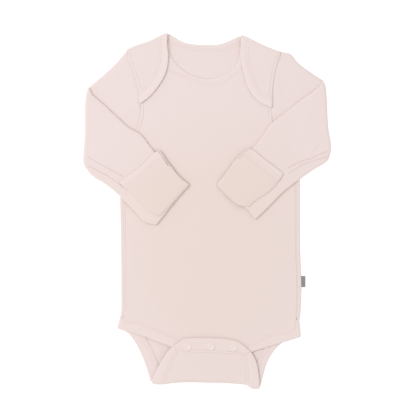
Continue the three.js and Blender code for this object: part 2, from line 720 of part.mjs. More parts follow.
function sleeve(shape) {
  const { side } = shape;
  const round = SLEEVE.roundness;
  const turn = round * (1 - Math.SQRT1_2);
  const layer = between(round, 1 - round, SLEEVE.across - 1);
  const across = [0, turn, ...layer, 1 - turn, 1];
  const inset = foldInset(BACK_Z, FOREARM_TOP_Z, CLOTH);
  const edge = (rows, count, sign) => shifted(along(rows, steps(count)), (sign * CLOTH) / 2);

  const top = edge(shape.top, SLEEVE.upperRows, -side);
  const under = edge(shape.under, SLEEVE.upperRows, side);
  const upper = edge(shape.upper, SLEEVE.foreRows, side);
  const lower = edge(shape.lower, SLEEVE.foreRows, -side);
  const elbow = shifted(along(shape.elbow, across), -side * inset);
  elbow[0] = top[SLEEVE.upperRows].clone().setX(elbow[1].x);
  elbow[0].y += SLEEVE.tip;
  elbow[elbow.length - 1] = last(under).clone().setX(last(elbow).x);
  top[SLEEVE.upperRows] = elbow[0];
  upper[0] = elbow[0];
  under[SLEEVE.upperRows] = last(elbow);
  lower[0] = last(elbow);

  const armhole = shifted(along(shape.armhole, across), side * GAP);
  top[0] = armhole[0];
  under[0] = last(armhole);
  const cuff = along(shape.cuff, across);
  const arm = coons(top, under, armhole, elbow, across);
  const forearm = coons(upper, lower, elbow, cuff, across);

  const places = ring();
  const middle = (BACK_Z + FRONT_Z) / 2;
  const halfGap = (FRONT_Z - BACK_Z) / 2;
  const foldZ = (FRONT_Z + FOREARM_UNDER_Z) / 2;
  const foldRadius = (FOREARM_TOP_Z - BACK_Z) / 2 - halfGap;
  const outward = sideways(elbow, side);
  const rows = [];
  arm.forEach((row, j) => {
    const nearSeam = 1 - j / SLEEVE.upperRows;
    rows.push(places.map(([c, w]) => {
      const u = across[c];
      const rise = SHOULDER_RISE * nearSeam ** 2 * (1 - smooth(u, ...SLEEVE.riseFade)) * Math.max(0, w);
      return new THREE.Vector3(row[c].x, row[c].y, middle + halfGap * w + rise);
    }));
  });
  for (const t of steps(SLEEVE.foldSteps).slice(1, -1)) {
    const angle = Math.PI * t;
    rows.push(places.map(([c, w]) => {
      const radius = foldRadius - halfGap * w;
      const out = radius * Math.sin(angle);
      return new THREE.Vector3(
        elbow[c].x + outward[c].x * out, elbow[c].y + outward[c].y * out,
        foldZ - radius * Math.cos(angle),
      );
    }));
  }
  for (const row of forearm) {
    rows.push(places.map(([c, w]) => {
      const { x, y } = row[c];
      const crease = folds(SLEEVE_FOLDS, x, y) * Math.max(0, -w);
      const height = foldZ + foldRadius - halfGap * w + swell(x, y) + crease;
      return new THREE.Vector3(x, y, height);
    }));
  }
  return new Sheet().grid(rows).wall(CLOTH);
}

// Rows of a lip: from a run on top of the sleeve, out and down over the sleeve's edge.
function lipRows(run, outward) {
  const { radius, drop, steps: count } = MITTEN_LIP;
  const turned = steps(count).map((t) => {
    const angle = (Math.PI / 2) * t;
    return [radius * Math.sin(angle), radius * (1 - Math.cos(angle))];
  });
  return [...turned, [radius, radius + drop]].map(([out, down]) =>
    run.map((p, i) => {
      const way = outward[i];
      return new THREE.Vector3(p.x + way.x * out, p.y + way.y * out, p.z - down);
    }),
  );
}

// A mitten's two pieces: the pouch over the cuff, and the hem round its opening.
function mitten(shape, side) {
  const lip = MITTEN_LIP.radius + CLOTH / 2;
  const hemRim = along([last(shape.opening), last(shape.hemSeam)], steps(2));
  const rim = shifted(chain(hemRim, along(shape.upper, steps(STEPS.mitten))), side * lip);
  const seam = along(shape.hemSeam, steps(STEPS.mittenAcross));
  const opening = along(shape.opening, steps(STEPS.mittenAcross));
  seam[STEPS.mittenAcross] = rim[2];
  opening[STEPS.mittenAcross] = rim[0];

  const pouchSeam = shifted(seam, side * GAP);
  const lower = along(shape.lower, steps(STEPS.mitten));
  const upper = rim.slice(2);
  const end = reversed(along(shape.end, steps(STEPS.mittenAcross)));
  lower[0] = pouchSeam[0];
  upper[0] = last(pouchSeam);
  const cover = lay(coons(lower, upper, pouchSeam, end), atLayer(MITTEN_Z));
  const coverRim = cover.map(last);
  const pouch = new Sheet().grid(cover).grid(lipRows(coverRim, sideways(coverRim, -side)));

  const hemZ = MITTEN_Z + (BINDING - CLOTH) / 2;
  const hemRows = lay(rowsAcross(shifted(seam, -side * GAP), opening), atLayer(hemZ));
  const hemEnd = last(hemRows);
  const hem = new Sheet().grid(hemRows).grid(lipRows(hemEnd, sideways(hemEnd, side)));
  return [pouch.wall(CLOTH), hem.wall(BINDING)];
}

function snap([x, y]) {
  const { radius, height, rim, bevel, ring: top, well, middle, lift, segments } = SNAP;
  const profile = [
    [0, 0], [radius - bevel, 0], [radius, bevel], [radius, rim], [top[1], height],
    [top[0], height], well, [0, middle],
  ].map(([r, h]) => new THREE.Vector2(r, h));
  const geometry = new THREE.LatheGeometry(profile, segments);
  geometry.rotateX(Math.PI / 2);
  geometry.translate(x, y, LAP_Z + BINDING / 2 + lift);
  return geometry;
}

// The woven label, folded in two, with its ends in the side seam.
function label() {
  const { x, y, z, thickness, steps: count } = LABEL;
  const half = thickness / 2;
  const outline = new THREE.Shape();
  outline.moveTo(x[0], -half);
  outline.lineTo(x[1] - half, -half);
  outline.absarc(x[1] - half, 0, half, -Math.PI / 2, Math.PI / 2);
  outline.lineTo(x[0], half);
  const options = { depth: y[1] - y[0], bevelEnabled: false, curveSegments: count };
  const geometry = new THREE.ExtrudeGeometry(outline, options);
  geometry.rotateX(Math.PI / 2);
  geometry.translate(0, y[1], z);
  return geometry;
}

add("back_panel", backPanel(), jersey);
add("front_panel", frontPanel(), jersey);
add("neck_binding_back", backNeckBinding(), bindingJersey);
add("neck_binding_front", frontNeckBinding(), bindingJersey);
add("leg_binding_left", legBinding(LEFT, leftSeams, CROTCH_FOLD_LEFT, 1), bindingJersey);
add("leg_binding_right", legBinding(RIGHT, rightSeams, CROTCH_FOLD_RIGHT, -1), bindingJersey);
add("flap_placket", placket(), bindingJersey);
add("sleeve_left", sleeve(LEFT_SLEEVE), jersey);
add("sleeve_right", sleeve(RIGHT_SLEEVE), jersey);
for (const [place, shape, side] of [["left", LEFT_MITTEN, -1], ["right", RIGHT_MITTEN, 1]]) {
  const [pouch, hem] = mitten(shape, side);
  add("mitten_" + place, pouch, jersey);
  add("mitten_hem_" + place, hem, bindingJersey);
}
for (const [place, centre] of Object.entries(SNAP_PLACES)) {
  add("snap_" + place, snap(centre), snapPlastic);
}
add("side_label", label(), labelRibbon);

export default garment;
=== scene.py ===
# %% [markdown]
# A baby's bodysuit in fine cotton jersey, laid flat and seen from straight above.
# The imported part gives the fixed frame: rigid walls in the garment's shape, in metres, front up.
# Each wall is replaced here by a thin, soft shell of knitted cloth that lies on the same form,
# with its creases, seams and stitches. The outlines below are those of the garment's pattern as
# it lies on the table, so the two models share one frame.

import json

import bpy
import numpy as np
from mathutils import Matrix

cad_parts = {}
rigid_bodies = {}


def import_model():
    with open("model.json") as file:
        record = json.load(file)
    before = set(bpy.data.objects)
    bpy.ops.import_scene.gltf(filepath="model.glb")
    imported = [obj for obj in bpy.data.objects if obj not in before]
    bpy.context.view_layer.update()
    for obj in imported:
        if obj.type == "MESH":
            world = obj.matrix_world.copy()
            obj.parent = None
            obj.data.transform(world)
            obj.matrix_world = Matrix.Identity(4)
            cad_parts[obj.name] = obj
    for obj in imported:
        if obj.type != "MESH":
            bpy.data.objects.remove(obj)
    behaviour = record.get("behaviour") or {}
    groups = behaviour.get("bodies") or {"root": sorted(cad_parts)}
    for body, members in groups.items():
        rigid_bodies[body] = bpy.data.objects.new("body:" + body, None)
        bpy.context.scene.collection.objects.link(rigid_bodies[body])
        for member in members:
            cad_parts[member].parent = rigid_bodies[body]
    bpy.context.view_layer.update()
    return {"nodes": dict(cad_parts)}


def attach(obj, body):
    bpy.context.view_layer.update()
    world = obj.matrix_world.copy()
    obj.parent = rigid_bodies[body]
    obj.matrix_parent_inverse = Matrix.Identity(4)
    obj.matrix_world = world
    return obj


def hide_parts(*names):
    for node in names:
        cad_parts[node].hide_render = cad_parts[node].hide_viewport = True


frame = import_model()
print("nodes in the frame:", len(frame["nodes"]))

# %% [markdown]
# The camera is made first. It hangs straight above the garment and three metres up, with a long
# lens, so that there is almost no perspective, as in a catalogue picture taken from a stand.

# %% Camera
MM = 0.001  # one millimetre, in the metres that Blender works in
VIEW_WIDTH = 461.8 * MM
VIEW_MIDDLE = (1.05 * MM, 3.2 * MM)
CAMERA_HEIGHT = 3.0
camera_data = bpy.data.cameras.new("camera")
camera_data.sensor_width = 36
camera_data.lens = 36 * CAMERA_HEIGHT / VIEW_WIDTH
camera = bpy.data.objects.new("camera", camera_data)
camera.location = (*VIEW_MIDDLE, CAMERA_HEIGHT)
bpy.context.scene.collection.objects.link(camera)
bpy.context.scene.camera = camera
bpy.context.scene.view_settings.view_transform = "Standard"
print("camera looks straight down from", CAMERA_HEIGHT, "m")

# %% [markdown]
# Every size is in millimetres until a mesh is made. The heights say how the layers are stacked:
# the back lies on the table, the front on the back, the shoulder laps and the crotch flap on the
# front, and the folded forearms and their mittens on top of it all.

# %% Sizes and heights
CLOTH = 1.0
BINDING = 1.3
BACK_Z = CLOTH / 2
BACK_BINDING_Z = BINDING / 2
FRONT_Z = 2.3
LAP_Z = 4.1
FOREARM_UNDER_Z = 3.7
FOREARM_TOP_Z = 5.5
MITTEN_Z = FOREARM_TOP_Z + CLOTH + 0.35
SIDE_WRAP = 3.9
TUCK = 1.6  # how far a panel's raw edge runs into its binding
SWELL = {"height": 1.2, "middle_x": 3.6, "half_width": 92, "hem": (-128, -85), "neck": (105, 150)}
SHOULDER_RISE = 0.9
STEP = 1.9  # between neighbouring points of the cloth
print("the layers come to", MITTEN_Z + CLOTH / 2, "mm without the swell")

# %% [markdown]
# The outlines are short lists of points, each with columns x and y. A smooth curve is drawn
# through them. They are the edges of the pieces, or the seam between two of them.

# %% Outlines of the body
LEFT = {
    "shoulder": [(-89.3, 179.2), (-82.2, 182.5), (-74.4, 185.3), (-63.3, 189.1), (-55.6, 193.0)],
    "neck_point": [(-55.6, 193.0), (-50, 195.7), (-44.1, 197.8)],
    "armhole": [
        (-89.3, 179.2), (-87.7, 166.4), (-84.4, 158.6), (-81.1, 148.6), (-77.0, 135.3),
        (-74.4, 118.7), (-74.8, 104.0), (-80.0, 88.7), (-87.7, 77.6), (-96.1, 69.8),
    ],
    "lap_edge": [
        (-44.1, 197.8), (-44.5, 184.1), (-43.2, 173.0), (-45.0, 156.4), (-51.1, 143.1),
        (-63.3, 127.5), (-74.4, 118.7),
    ],
    "lap_seam": [(-55.6, 193.0), (-55.6, 167.5), (-60.0, 153.1), (-68.9, 139.9), (-76.4, 132.4)],
    "side": [
        (-96.1, 69.8), (-96.6, 14.3), (-95.8, -32.3), (-95.3, -92.2), (-95.6, -112.2),
        (-97.1, -119.0),
    ],
    "hip": (-99.7, -130.3),
    "leg_front_seam": [
        (-97.1, -119.0), (-82.2, -120.5), (-71.1, -122.8), (-52.2, -131.1), (-30.0, -141.6),
        (-22.5, -150.0), (-21.5, -166.0),
    ],
    "leg_front_edge": [
        (-99.7, -130.3), (-88.9, -133.4), (-68.9, -139.4), (-52.2, -146.1), (-41.0, -150.5),
        (-34.0, -157.0), (-32.5, -166.0),
    ],
    "leg_back_seam": [
        (-97.1, -119.0), (-80.0, -126.0), (-69.4, -139.4), (-60.5, -155.0), (-53.0, -174.0),
        (-46.7, -192.7),
    ],
    "leg_back_edge": [
        (-99.7, -130.3), (-88.9, -134.4), (-79.8, -145.5), (-70.1, -165.5), (-61.7, -191.6),
    ],
    "flap_seam": [(-46.7, -192.7), (-43.3, -184.4), (-38.9, -173.3), (-32.2, -157.9)],
    "flap_edge": [
        (-61.7, -191.6), (-58.3, -182.2), (-47.8, -162.2), (-42.2, -154.4), (-35.6, -148.6),
    ],
    "crotch_fold": [(-46.7, -192.7), (-56.5, -192.6), (-61.7, -191.6)],
}
RIGHT = {
    "shoulder": [(82.6, 176.7), (74.3, 179.4), (61.0, 184.8), (54.3, 188.0), (48.2, 191.3)],
    "neck_point": [(48.2, 191.3), (43.5, 193.6), (37.7, 195.2)],
    "armhole": [
        (82.6, 176.7), (77.6, 160.8), (74.3, 145.3), (72.6, 128.6), (72.0, 114.5),
        (72.9, 98.7), (77.6, 85.4), (87.6, 75.4), (103.2, 66.5),
    ],
    "lap_edge": [
        (37.7, 195.2), (37.7, 184.1), (37.1, 173.0), (41.0, 152.0), (47.7, 133.1),
        (58.8, 120.9), (72.0, 114.5),
    ],
    "lap_seam": [(48.2, 191.3), (48.5, 167.5), (54.3, 146.4), (62.0, 132.6), (72.5, 127.2)],
    "side": [
        (103.2, 66.5), (103.2, -32.3), (104.2, -65.6), (104.8, -85.6), (103.8, -112.2),
        (102.6, -121.5),
    ],
    "hip": (104.2, -139.4),
    "leg_front_seam": [
        (102.6, -121.5), (99.6, -122.6), (96.6, -127.5), (90.0, -131.2), (72.1, -134.6),
        (61.0, -138.5), (50.0, -145.0), (39.0, -152.0), (34.5, -168.0),
    ],
    "leg_front_edge": [
        (104.2, -139.4), (81.0, -146.6), (58.8, -153.3), (49.9, -156.6), (46.0, -161.0),
        (44.5, -168.0),
    ],
    "leg_back_seam": [
        (102.6, -121.5), (86.0, -131.0), (72.0, -142.0), (58.0, -162.0), (50.0, -180.0),
        (42.1, -192.9),
    ],
    "leg_back_edge": [
        (104.2, -139.4), (92.1, -141.1), (76.5, -152.2), (66.0, -169.5), (61.9, -183.3),
        (58.0, -197.4),
    ],
    "flap_seam": [(42.1, -192.9), (41.6, -182.2), (40.4, -170.0), (39.9, -160.8)],
    "flap_edge": [(58.0, -197.4), (57.2, -183.8), (53.7, -165.5), (48.0, -155.8)],
    "crotch_fold": [(42.1, -192.9), (49.5, -197.2), (58.0, -197.4)],
}
BACK_NECK_SEAM = [
    (-55.6, 193.0), (-40.0, 184.1), (-30.0, 180.2), (-18.9, 176.9), (-2.3, 175.3),
    (22.1, 177.2), (36.6, 183.7), (48.2, 191.3),
]
BACK_NECK_EDGE = [
    (-44.1, 197.8), (-32.2, 190.1), (-25.6, 186.8), (-18.9, 185.2), (1.1, 183.9),
    (14.4, 184.8), (27.7, 189.9), (37.7, 195.2),
]
FRONT_NECK_EDGE = [
    (-43.5, 186.0), (-40.0, 171.9), (-32.2, 160.8), (-18.9, 151.4), (-2.3, 146.4),
    (8.8, 147.0), (22.0, 152.2), (32.1, 161.0), (36.6, 172.3), (38.5, 183.0),
]
FRONT_NECK_SEAM = [
    (-54.6, 186.0), (-52.2, 171.0), (-44.5, 154.5), (-25.6, 145.4), (-7.8, 138.9),
    (2.0, 137.3), (14.4, 140.0), (25.5, 146.0), (39.9, 158.5), (47.7, 170.0),
    (49.6, 183.0),
]
CROTCH_FOLD = [
    (-46.7, -192.7), (-38.9, -191.3), (-18.9, -190.3), (1.1, -190.8), (21.0, -191.2),
    (42.1, -192.9),
]
PLACKET_SEAM = [(-32.2, -157.9), (-16.7, -158.5), (8.8, -159.2), (39.9, -160.8)]
FLAP_TOP = [
    (-35.6, -148.6), (-25.6, -142.3), (-8.9, -141.1), (14.4, -141.7), (26.6, -143.1),
    (36.6, -146.6), (48.0, -155.8),
]
print("curves on each side of the body:", len(LEFT), len(RIGHT))

# %% Outlines of the sleeves and mittens
LEFT_SLEEVE = {
    "side": -1,
    "armhole": [(-88.3, 178.9)] + LEFT["armhole"][1:],  # its tip goes under the lap
    "top": [(-88.3, 178.9), (-98.8, 166.5), (-112.2, 153.2), (-125.5, 142.0), (-134.0, 134.8)],
    "under": [(-96.1, 69.8), (-115, 59), (-136.0, 46.5)],
    "elbow": [
        (-134.0, 134.8), (-135.6, 114.2), (-136.1, 80.9), (-137.6, 56.0), (-136.0, 46.5),
    ],
    "upper": [
        (-134.0, 134.8), (-118.8, 122.0), (-96.6, 101.5), (-87.7, 93.1), (-74.4, 85.4),
        (-62.0, 70.0), (-43.0, 48.0), (-22.5, 26.5),
    ],
    "lower": [
        (-136.0, 46.5), (-125.5, 37.5), (-112.2, 29.4), (-98.8, 18.5), (-80.0, -0.1),
        (-68.5, -12.0), (-56.5, -15.3),
    ],
    "cuff": [(-22.5, 26.5), (-38.5, 7.5), (-49.0, -6.0), (-56.5, -15.3)],
}
RIGHT_SLEEVE = {
    "side": 1,
    "armhole": [(81.6, 176.5)] + RIGHT["armhole"][1:],
    "top": [(81.6, 176.5), (92.5, 174.2), (101.0, 164.4), (114.3, 154.2), (130.9, 143.1)],
    "under": [(103.2, 66.5), (119, 60), (134.1, 54.3)],
    "elbow": [(130.9, 143.1), (132.7, 127.0), (134.3, 94.2), (137.6, 69.0), (134.1, 54.3)],
    "upper": [
        (130.9, 143.1), (116.5, 132.0), (99.8, 119.8), (82.1, 105.3), (71.0, 96.5),
        (61.0, 82.0), (46.0, 63.5), (33.0, 52.5), (15.0, 28.0),
    ],
    "lower": [
        (134.1, 54.3), (120.9, 47.4), (107.6, 38.6), (84.3, 21.0), (67.7, 4.3), (53.2, -9.5),
    ],
    "cuff": [(15.0, 28.0), (28.0, 14.5), (38.0, 6.8), (46.5, 0.0), (53.2, -9.5)],
}
LEFT_MITTEN = {
    "side": -1,
    "opening": [(-96.6, 31.6), (-80.0, 44.3), (-68.9, 53.2), (-60.0, 62.8), (-52.2, 67.0)],
    "hem_seam": [(-88.9, 23.2), (-75.0, 33.5), (-66.7, 40.0), (-58.0, 49.6), (-44.6, 56.2)],
    "upper": [(-44.6, 56.2), (-38.9, 48.7), (-32.2, 40.2), (-25.6, 34.0), (-18.6, 29.3)],
    "end": [(-18.6, 29.3), (-32.2, 14.9), (-42.0, 4.0), (-52.5, -6.6)],
    "lower": [(-88.9, 23.2), (-80.0, 15.4), (-68.9, 4.8), (-62.0, -1.6), (-52.5, -6.6)],
}
RIGHT_MITTEN = {
    "side": 1,
    "opening": [(84.3, 41.5), (69.9, 52.6), (61.0, 59.3), (54.3, 65.0), (47.7, 69.4)],
    "hem_seam": [(79.0, 32.5), (64.5, 44.8), (55.5, 51.6), (48.5, 57.0), (38.8, 64.4)],
    "upper": [(38.8, 64.4), (31.0, 56.5), (25.5, 48.7), (17.7, 38.2), (10.5, 29.3)],
    "end": [(10.5, 29.3), (16.6, 21.8), (28.8, 10.8), (36.6, 5.6), (46.5, 4.6)],
    "lower": [(79.0, 32.5), (74.5, 26.0), (66.5, 19.4), (55.5, 12.4), (46.5, 4.6)],
}

# %% [markdown]
# Cloth that has been lying folded is never quite flat. The creases are placed where the
# photograph shows them and in like places on the sides that it hides: soft ridges, or troughs
# where the height is negative, uneven in length, width and spacing.

# %% Creases. Columns: x and y of one end, of the other, half width, height
FRONT_CREASES = [
    (-72, 116, -44, 104, 3.0, 0.35), (-70, 108, -38, 90, 4.0, 0.40), (-73, 98, -50, 74, 3.0, 0.30),
    (-66, 122, -34, 118, 3.5, -0.25), (-58, 126, -24, 128, 3.0, 0.20),
    (70, 110, 44, 100, 3.5, 0.30), (72, 100, 50, 80, 3.0, -0.25), (64, 120, 40, 118, 3.0, 0.20),
    (-84, -20, -86, -80, 6, 0.50), (88, 0, 90, -70, 6, 0.50), (-20, -60, -26, -118, 8, 0.40),
    (34, -66, 42, -120, 8, 0.40), (-60, -40, -50, -104, 9, -0.30), (64, -30, 60, -96, 10, -0.30),
    (-84, 8, -70, -4, 4, -0.45), (-90, 2, -74, -14, 3, 0.40), (52, -6, 70, -20, 6, 0.35),
    (-93, 15, -83, 1, 2.2, -0.75), (-32, 142, -6, 133.5, 2.4, -0.3),
    (-12, 134, 12, 133.5, 2.4, -0.3), (6, 133.5, 32, 145, 2.4, -0.3), (-2, -120, 2, -138, 4, 0.20),
]
SLEEVE_CREASES = [
    (-130, 70, -104, 62, 5, 0.55), (-128, 56, -100, 44, 4, 0.45), (-124, 112, -106, 92, 6, 0.40),
    (-133, 86, -112, 84, 4, -0.30), (-98, 66, -76, 52, 7, 0.30), (-84, 84, -60, 60, 6, -0.25),
    (132, 76, 108, 66, 5, 0.60), (134, 62, 112, 52, 3.0, 0.50), (128, 70, 116, 62, 2.4, -0.45),
    (128, 62, 96, 50, 4, -0.40), (122, 116, 104, 96, 6, 0.40), (96, 84, 74, 62, 7, 0.30),
    (132, 94, 112, 90, 4, -0.30), (132, 79, 112, 60, 1.6, -0.60),
]
UPPER_ARM_CREASES = [
    (-88, 160, -112, 138, 5, 0.35), (-84, 142, -104, 118, 5, -0.30), (-98, 168, -124, 144, 4, 0.25),
    (84, 160, 108, 142, 5, 0.35), (80, 142, 100, 126, 4, -0.30), (90, 170, 116, 152, 4, 0.25),
    (77, 150, 82, 120, 2.6, 0.45),
]
LAP_CREASES = [
    (-84, 168, -66, 160, 4, 0.35), (-82, 156, -66, 146, 4, -0.30), (-76, 180, -64, 168, 4, 0.25),
    (78, 164, 60, 156, 4, 0.35), (74, 150, 60, 142, 4, -0.25), (70, 178, 58, 168, 4, 0.25),
    (-84, 152, -77, 131, 1.5, 0.35), (-79, 156, -74, 134, 1.3, 0.35),
    (-73, 158, -71, 136, 1.6, 0.30), (49.0, 150.0, 63.5, 130.5, 0.9, -0.45),
    (74, 136, 68, 128, 1.5, 0.30),
]
BACK_CREASES = [
    (-30, 168, 10, 172, 4, 0.20), (-36, -160, -30, -178, 4, 0.25), (-60, -136, -50, -160, 4, 0.30),
    (60, -150, 52, -170, 4, 0.30), (70, -140, 78, -132, 3, -0.20),
]
FLAP_CREASES = [
    (-28, -164, -24, -186, 4, 0.25), (2, -162, 4, -184, 6, -0.20), (28, -166, 30, -188, 4, 0.25),
    (-46, -186.8, 42, -187.4, 1.1, -0.22),
]
tables = (FRONT_CREASES, SLEEVE_CREASES, UPPER_ARM_CREASES, LAP_CREASES, BACK_CREASES, FLAP_CREASES)
print("creases:", [len(table) for table in tables])

# %% [markdown]
# A curve is worked out at once for all its points. Between two knots it is a cubic; its direction
# at a knot is the one of a centripetal Catmull-Rom spline, whose steps grow with the square root
# of the distance, so it never loops or overshoots. Then it is read at equal shares of its length.


# %% Curves and patches
def run_length(points):
    """How far along a run each of its points is: the sum of the distances before it."""
    return np.append(0, np.cumsum(np.linalg.norm(np.diff(points, axis=0), axis=1)))


def along(rows, shares):
    """Points at shares of the length of the smooth curve through the knots in rows."""
    p = np.array(rows, float)
    p = np.vstack([2 * p[0] - p[1], p, 2 * p[-1] - p[-2]])
    gap = np.sqrt(np.linalg.norm(np.diff(p, axis=0), axis=1))[:, None]
    a, b, c = gap[:-2], gap[1:-1], gap[2:]
    p0, p1, p2, p3 = p[:-3], p[1:-2], p[2:-1], p[3:]
    leave = b * ((p1 - p0) / a - (p2 - p0) / (a + b) + (p2 - p1) / b)
    reach = b * ((p2 - p1) / b - (p3 - p1) / (b + c) + (p3 - p2) / c)
    u = np.linspace(0, 1, 33)[:-1][None, :, None]
    spots = (
        (2 * u**3 - 3 * u**2 + 1) * p1[:, None] + (u**3 - 2 * u**2 + u) * leave[:, None]
        + (3 * u**2 - 2 * u**3) * p2[:, None] + (u**3 - u**2) * reach[:, None]
    ).reshape(-1, 2)
    spots = np.vstack([spots, p2[-1]])
    run = run_length(spots)
    at = np.asarray(shares) * run[-1]
    return np.column_stack([np.interp(at, run, spots[:, k]) for k in (0, 1)])


def length_of(points):
    """The sum of the distances between neighbours."""
    return float(np.linalg.norm(np.diff(points, axis=0), axis=1).sum())


def after(rows, distance):
    """The share of a curve's length at a distance from its start."""
    return distance / length_of(along(rows, np.linspace(0, 1, 200)))


def even(rows, step=STEP, start=0.0, stop=1.0):
    """The curve through rows, at points about a step apart, from one share of it to another."""
    whole = length_of(along(rows, np.linspace(0, 1, 200)))
    count = max(2, round(abs(stop - start) * whole / step))
    return along(rows, np.linspace(start, stop, count + 1))


def resampled(points, count):
    """A run of points read again at count equal shares of its own length."""
    run = run_length(points)
    at = np.linspace(0, run[-1], count)
    return np.column_stack([np.interp(at, run, points[:, k]) for k in range(points.shape[1])])

# %% [markdown]
# The pieces share seams, so runs of points are looked up, moved sideways and set end to end.
# A panel between four such runs is a patch, whose points are blends of those on its edges.


# %% Runs and patches
TRIES = 401  # places on a curve that are tried to find one on it


def matched(run, other):
    """A run read again with as many points as another."""
    return resampled(run, len(other))


def share_near(rows, place):
    """The share of a curve's length at its point nearest to a place."""
    shares = np.linspace(0, 1, TRIES)
    return shares[np.argmin(np.linalg.norm(along(rows, shares) - np.array(place), axis=1))]


def square_to(run):
    """Unit directions to the left of a run's direction of travel."""
    way = np.gradient(run, axis=0)
    way /= np.linalg.norm(way, axis=1)[:, None]
    return np.column_stack([-way[:, 1], way[:, 0]])


def shifted(run, distance):
    """A run moved sideways, to the left of its direction of travel."""
    return run + distance * square_to(run)


def joined(*runs):
    """Runs set end to end, each new one without its first point."""
    return np.vstack([runs[0], *[r[1:] for r in runs[1:]]])


def patch(left, right, bottom, top, across=None):
    """A Coons patch: the blend of the two side runs plus the blend of the two end runs, less the
    blend of the four corners, so the surface meets all four. Rows run from bottom to top."""
    v = np.linspace(0, 1, len(left))[:, None, None]
    u = (np.linspace(0, 1, len(bottom)) if across is None else across)[None, :, None]
    corner = [left[0], right[0], left[-1], right[-1]]
    return (
        (1 - u) * left[:, None] + u * right[:, None] + (1 - v) * bottom[None] + v * top[None]
        - (1 - v) * ((1 - u) * corner[0] + u * corner[1])
        - v * ((1 - u) * corner[2] + u * corner[3])
    )


print("left lap's edge is", round(length_of(even(LEFT["lap_edge"])), 1), "mm long")

# %% [markdown]
# The height of a layer is a formula of the place in plan: its flat height, plus the swell that
# the layers below give it, plus its creases. A crease is a ridge whose section is a bell curve
# and which fades towards both ends. A fold is a half circle from one height to another.


# %% Heights
def fade(x, low, high):
    """0 at low and 1 at high, with a smooth S between: three squares less two cubes."""
    t = np.clip((x - low) / (high - low), 0, 1)
    return t * t * (3 - 2 * t)


def swell(x, y):
    """How far the layers under the front lift it: a parabola across, fading to both ends."""
    side = np.maximum(0, 1 - ((x - SWELL["middle_x"]) / SWELL["half_width"]) ** 2)
    return SWELL["height"] * side * fade(y, *SWELL["hem"]) * (1 - fade(y, *SWELL["neck"]))


def creases(table, x, y):
    """The sum of a table's ridges: a bell curve across each, the square of a parabola along."""
    total = np.zeros_like(x)
    for x0, y0, x1, y1, half, height in table:
        length = np.hypot(x1 - x0, y1 - y0)
        way_x, way_y = (x1 - x0) / length, (y1 - y0) / length
        ahead = (x - x0) * way_x + (y - y0) * way_y
        aside = (x - x0) * way_y - (y - y0) * way_x
        ends = np.maximum(0, 1 - (2 * ahead / length - 1) ** 2) ** 2
        total += height * ends * np.exp(-((aside / half) ** 2))
    return total


def ripple(s, length, seed=0.0):
    """An uneven wave along a seam: three sines whose lengths have no common measure."""
    turn = 2 * np.pi * s / length
    long = np.sin(0.61 * turn + 4 * seed)
    return (np.sin(turn + seed) + 0.7 * np.sin(1.73 * turn + 2.1 * seed) + 0.5 * long) / 2.2


def at_height(plan, z):
    """A grid in plan, given its heights."""
    return np.dstack([plan, np.broadcast_to(z, plan.shape[:2])])


def fold_rows(run, outward, low, high, count=8):
    """Rows from a run at one height, out and round a half circle, to the same run higher up."""
    turn = np.linspace(0, np.pi, count + 1)[:, None]
    radius = (high - low) / 2
    plan = run[None] + (radius * np.sin(turn))[:, :, None] * outward[None]
    return at_height(plan, low + radius * (1 - np.cos(turn)))


# %% [markdown]
# A piece of cloth is a closed shell. Its middle surface is a set of grids that share points where
# they meet; each point is moved half the thickness to both sides along the surface's normal, and
# the rim is closed with a rounded edge. Everything is done on whole arrays. The texture map keeps
# the place on the cloth in millimetres, so that the knit follows each piece.

# %% Shells of cloth
skins = {}  # the upper side of each layer, for what is laid on it


def triangles_of(numbers):
    """Two triangles for each cell of a grid of point numbers."""
    a, b = numbers[:-1, :-1].ravel(), numbers[:-1, 1:].ravel()
    c, d = numbers[1:, 1:].ravel(), numbers[1:, :-1].ravel()
    return np.vstack([np.column_stack([a, b, c]), np.column_stack([a, c, d])])


def edge_codes(triangles, count):
    """One number for each directed edge, and its two ends. The same edge gives the same number."""
    ends = np.vstack([triangles[:, [0, 1]], triangles[:, [1, 2]], triangles[:, [2, 0]]])
    ends = ends.astype(np.int64)
    return ends[:, 0] * count + ends[:, 1], ends


def whole(triangles):
    """True for each triangle whose three points differ."""
    a, b, c = triangles.T
    return (a != b) & (b != c) & (c != a)


def faces_in(points, triangles):
    """True if closed triangles enclose a negative volume, which is when they face inwards."""
    a, b, c = (points[triangles[:, k]] for k in range(3))
    return (a * np.cross(b, c)).sum() < 0


def top_of(grid):
    """The upper side of a layer of single cloth, as a list of points."""
    return grid.reshape(-1, 3) + (0, 0, CLOTH / 2)


def normals_of(points, triangles):
    """At each point, the sum of the normals of its faces, each as long as its area, made unit."""
    a, b, c = (points[triangles[:, k]] for k in range(3))
    face = np.cross(b - a, c - a)
    total = np.zeros_like(points)
    for k in range(3):
        np.add.at(total, triangles[:, k], face)
    return total / np.maximum(np.linalg.norm(total, axis=1), 1e-12)[:, None]

# %% [markdown]
# One function puts the arrays into a mesh and sets its object to ride on the part's one body.
# The mesh holds its place itself, so the object stays at the origin, unturned and unscaled.


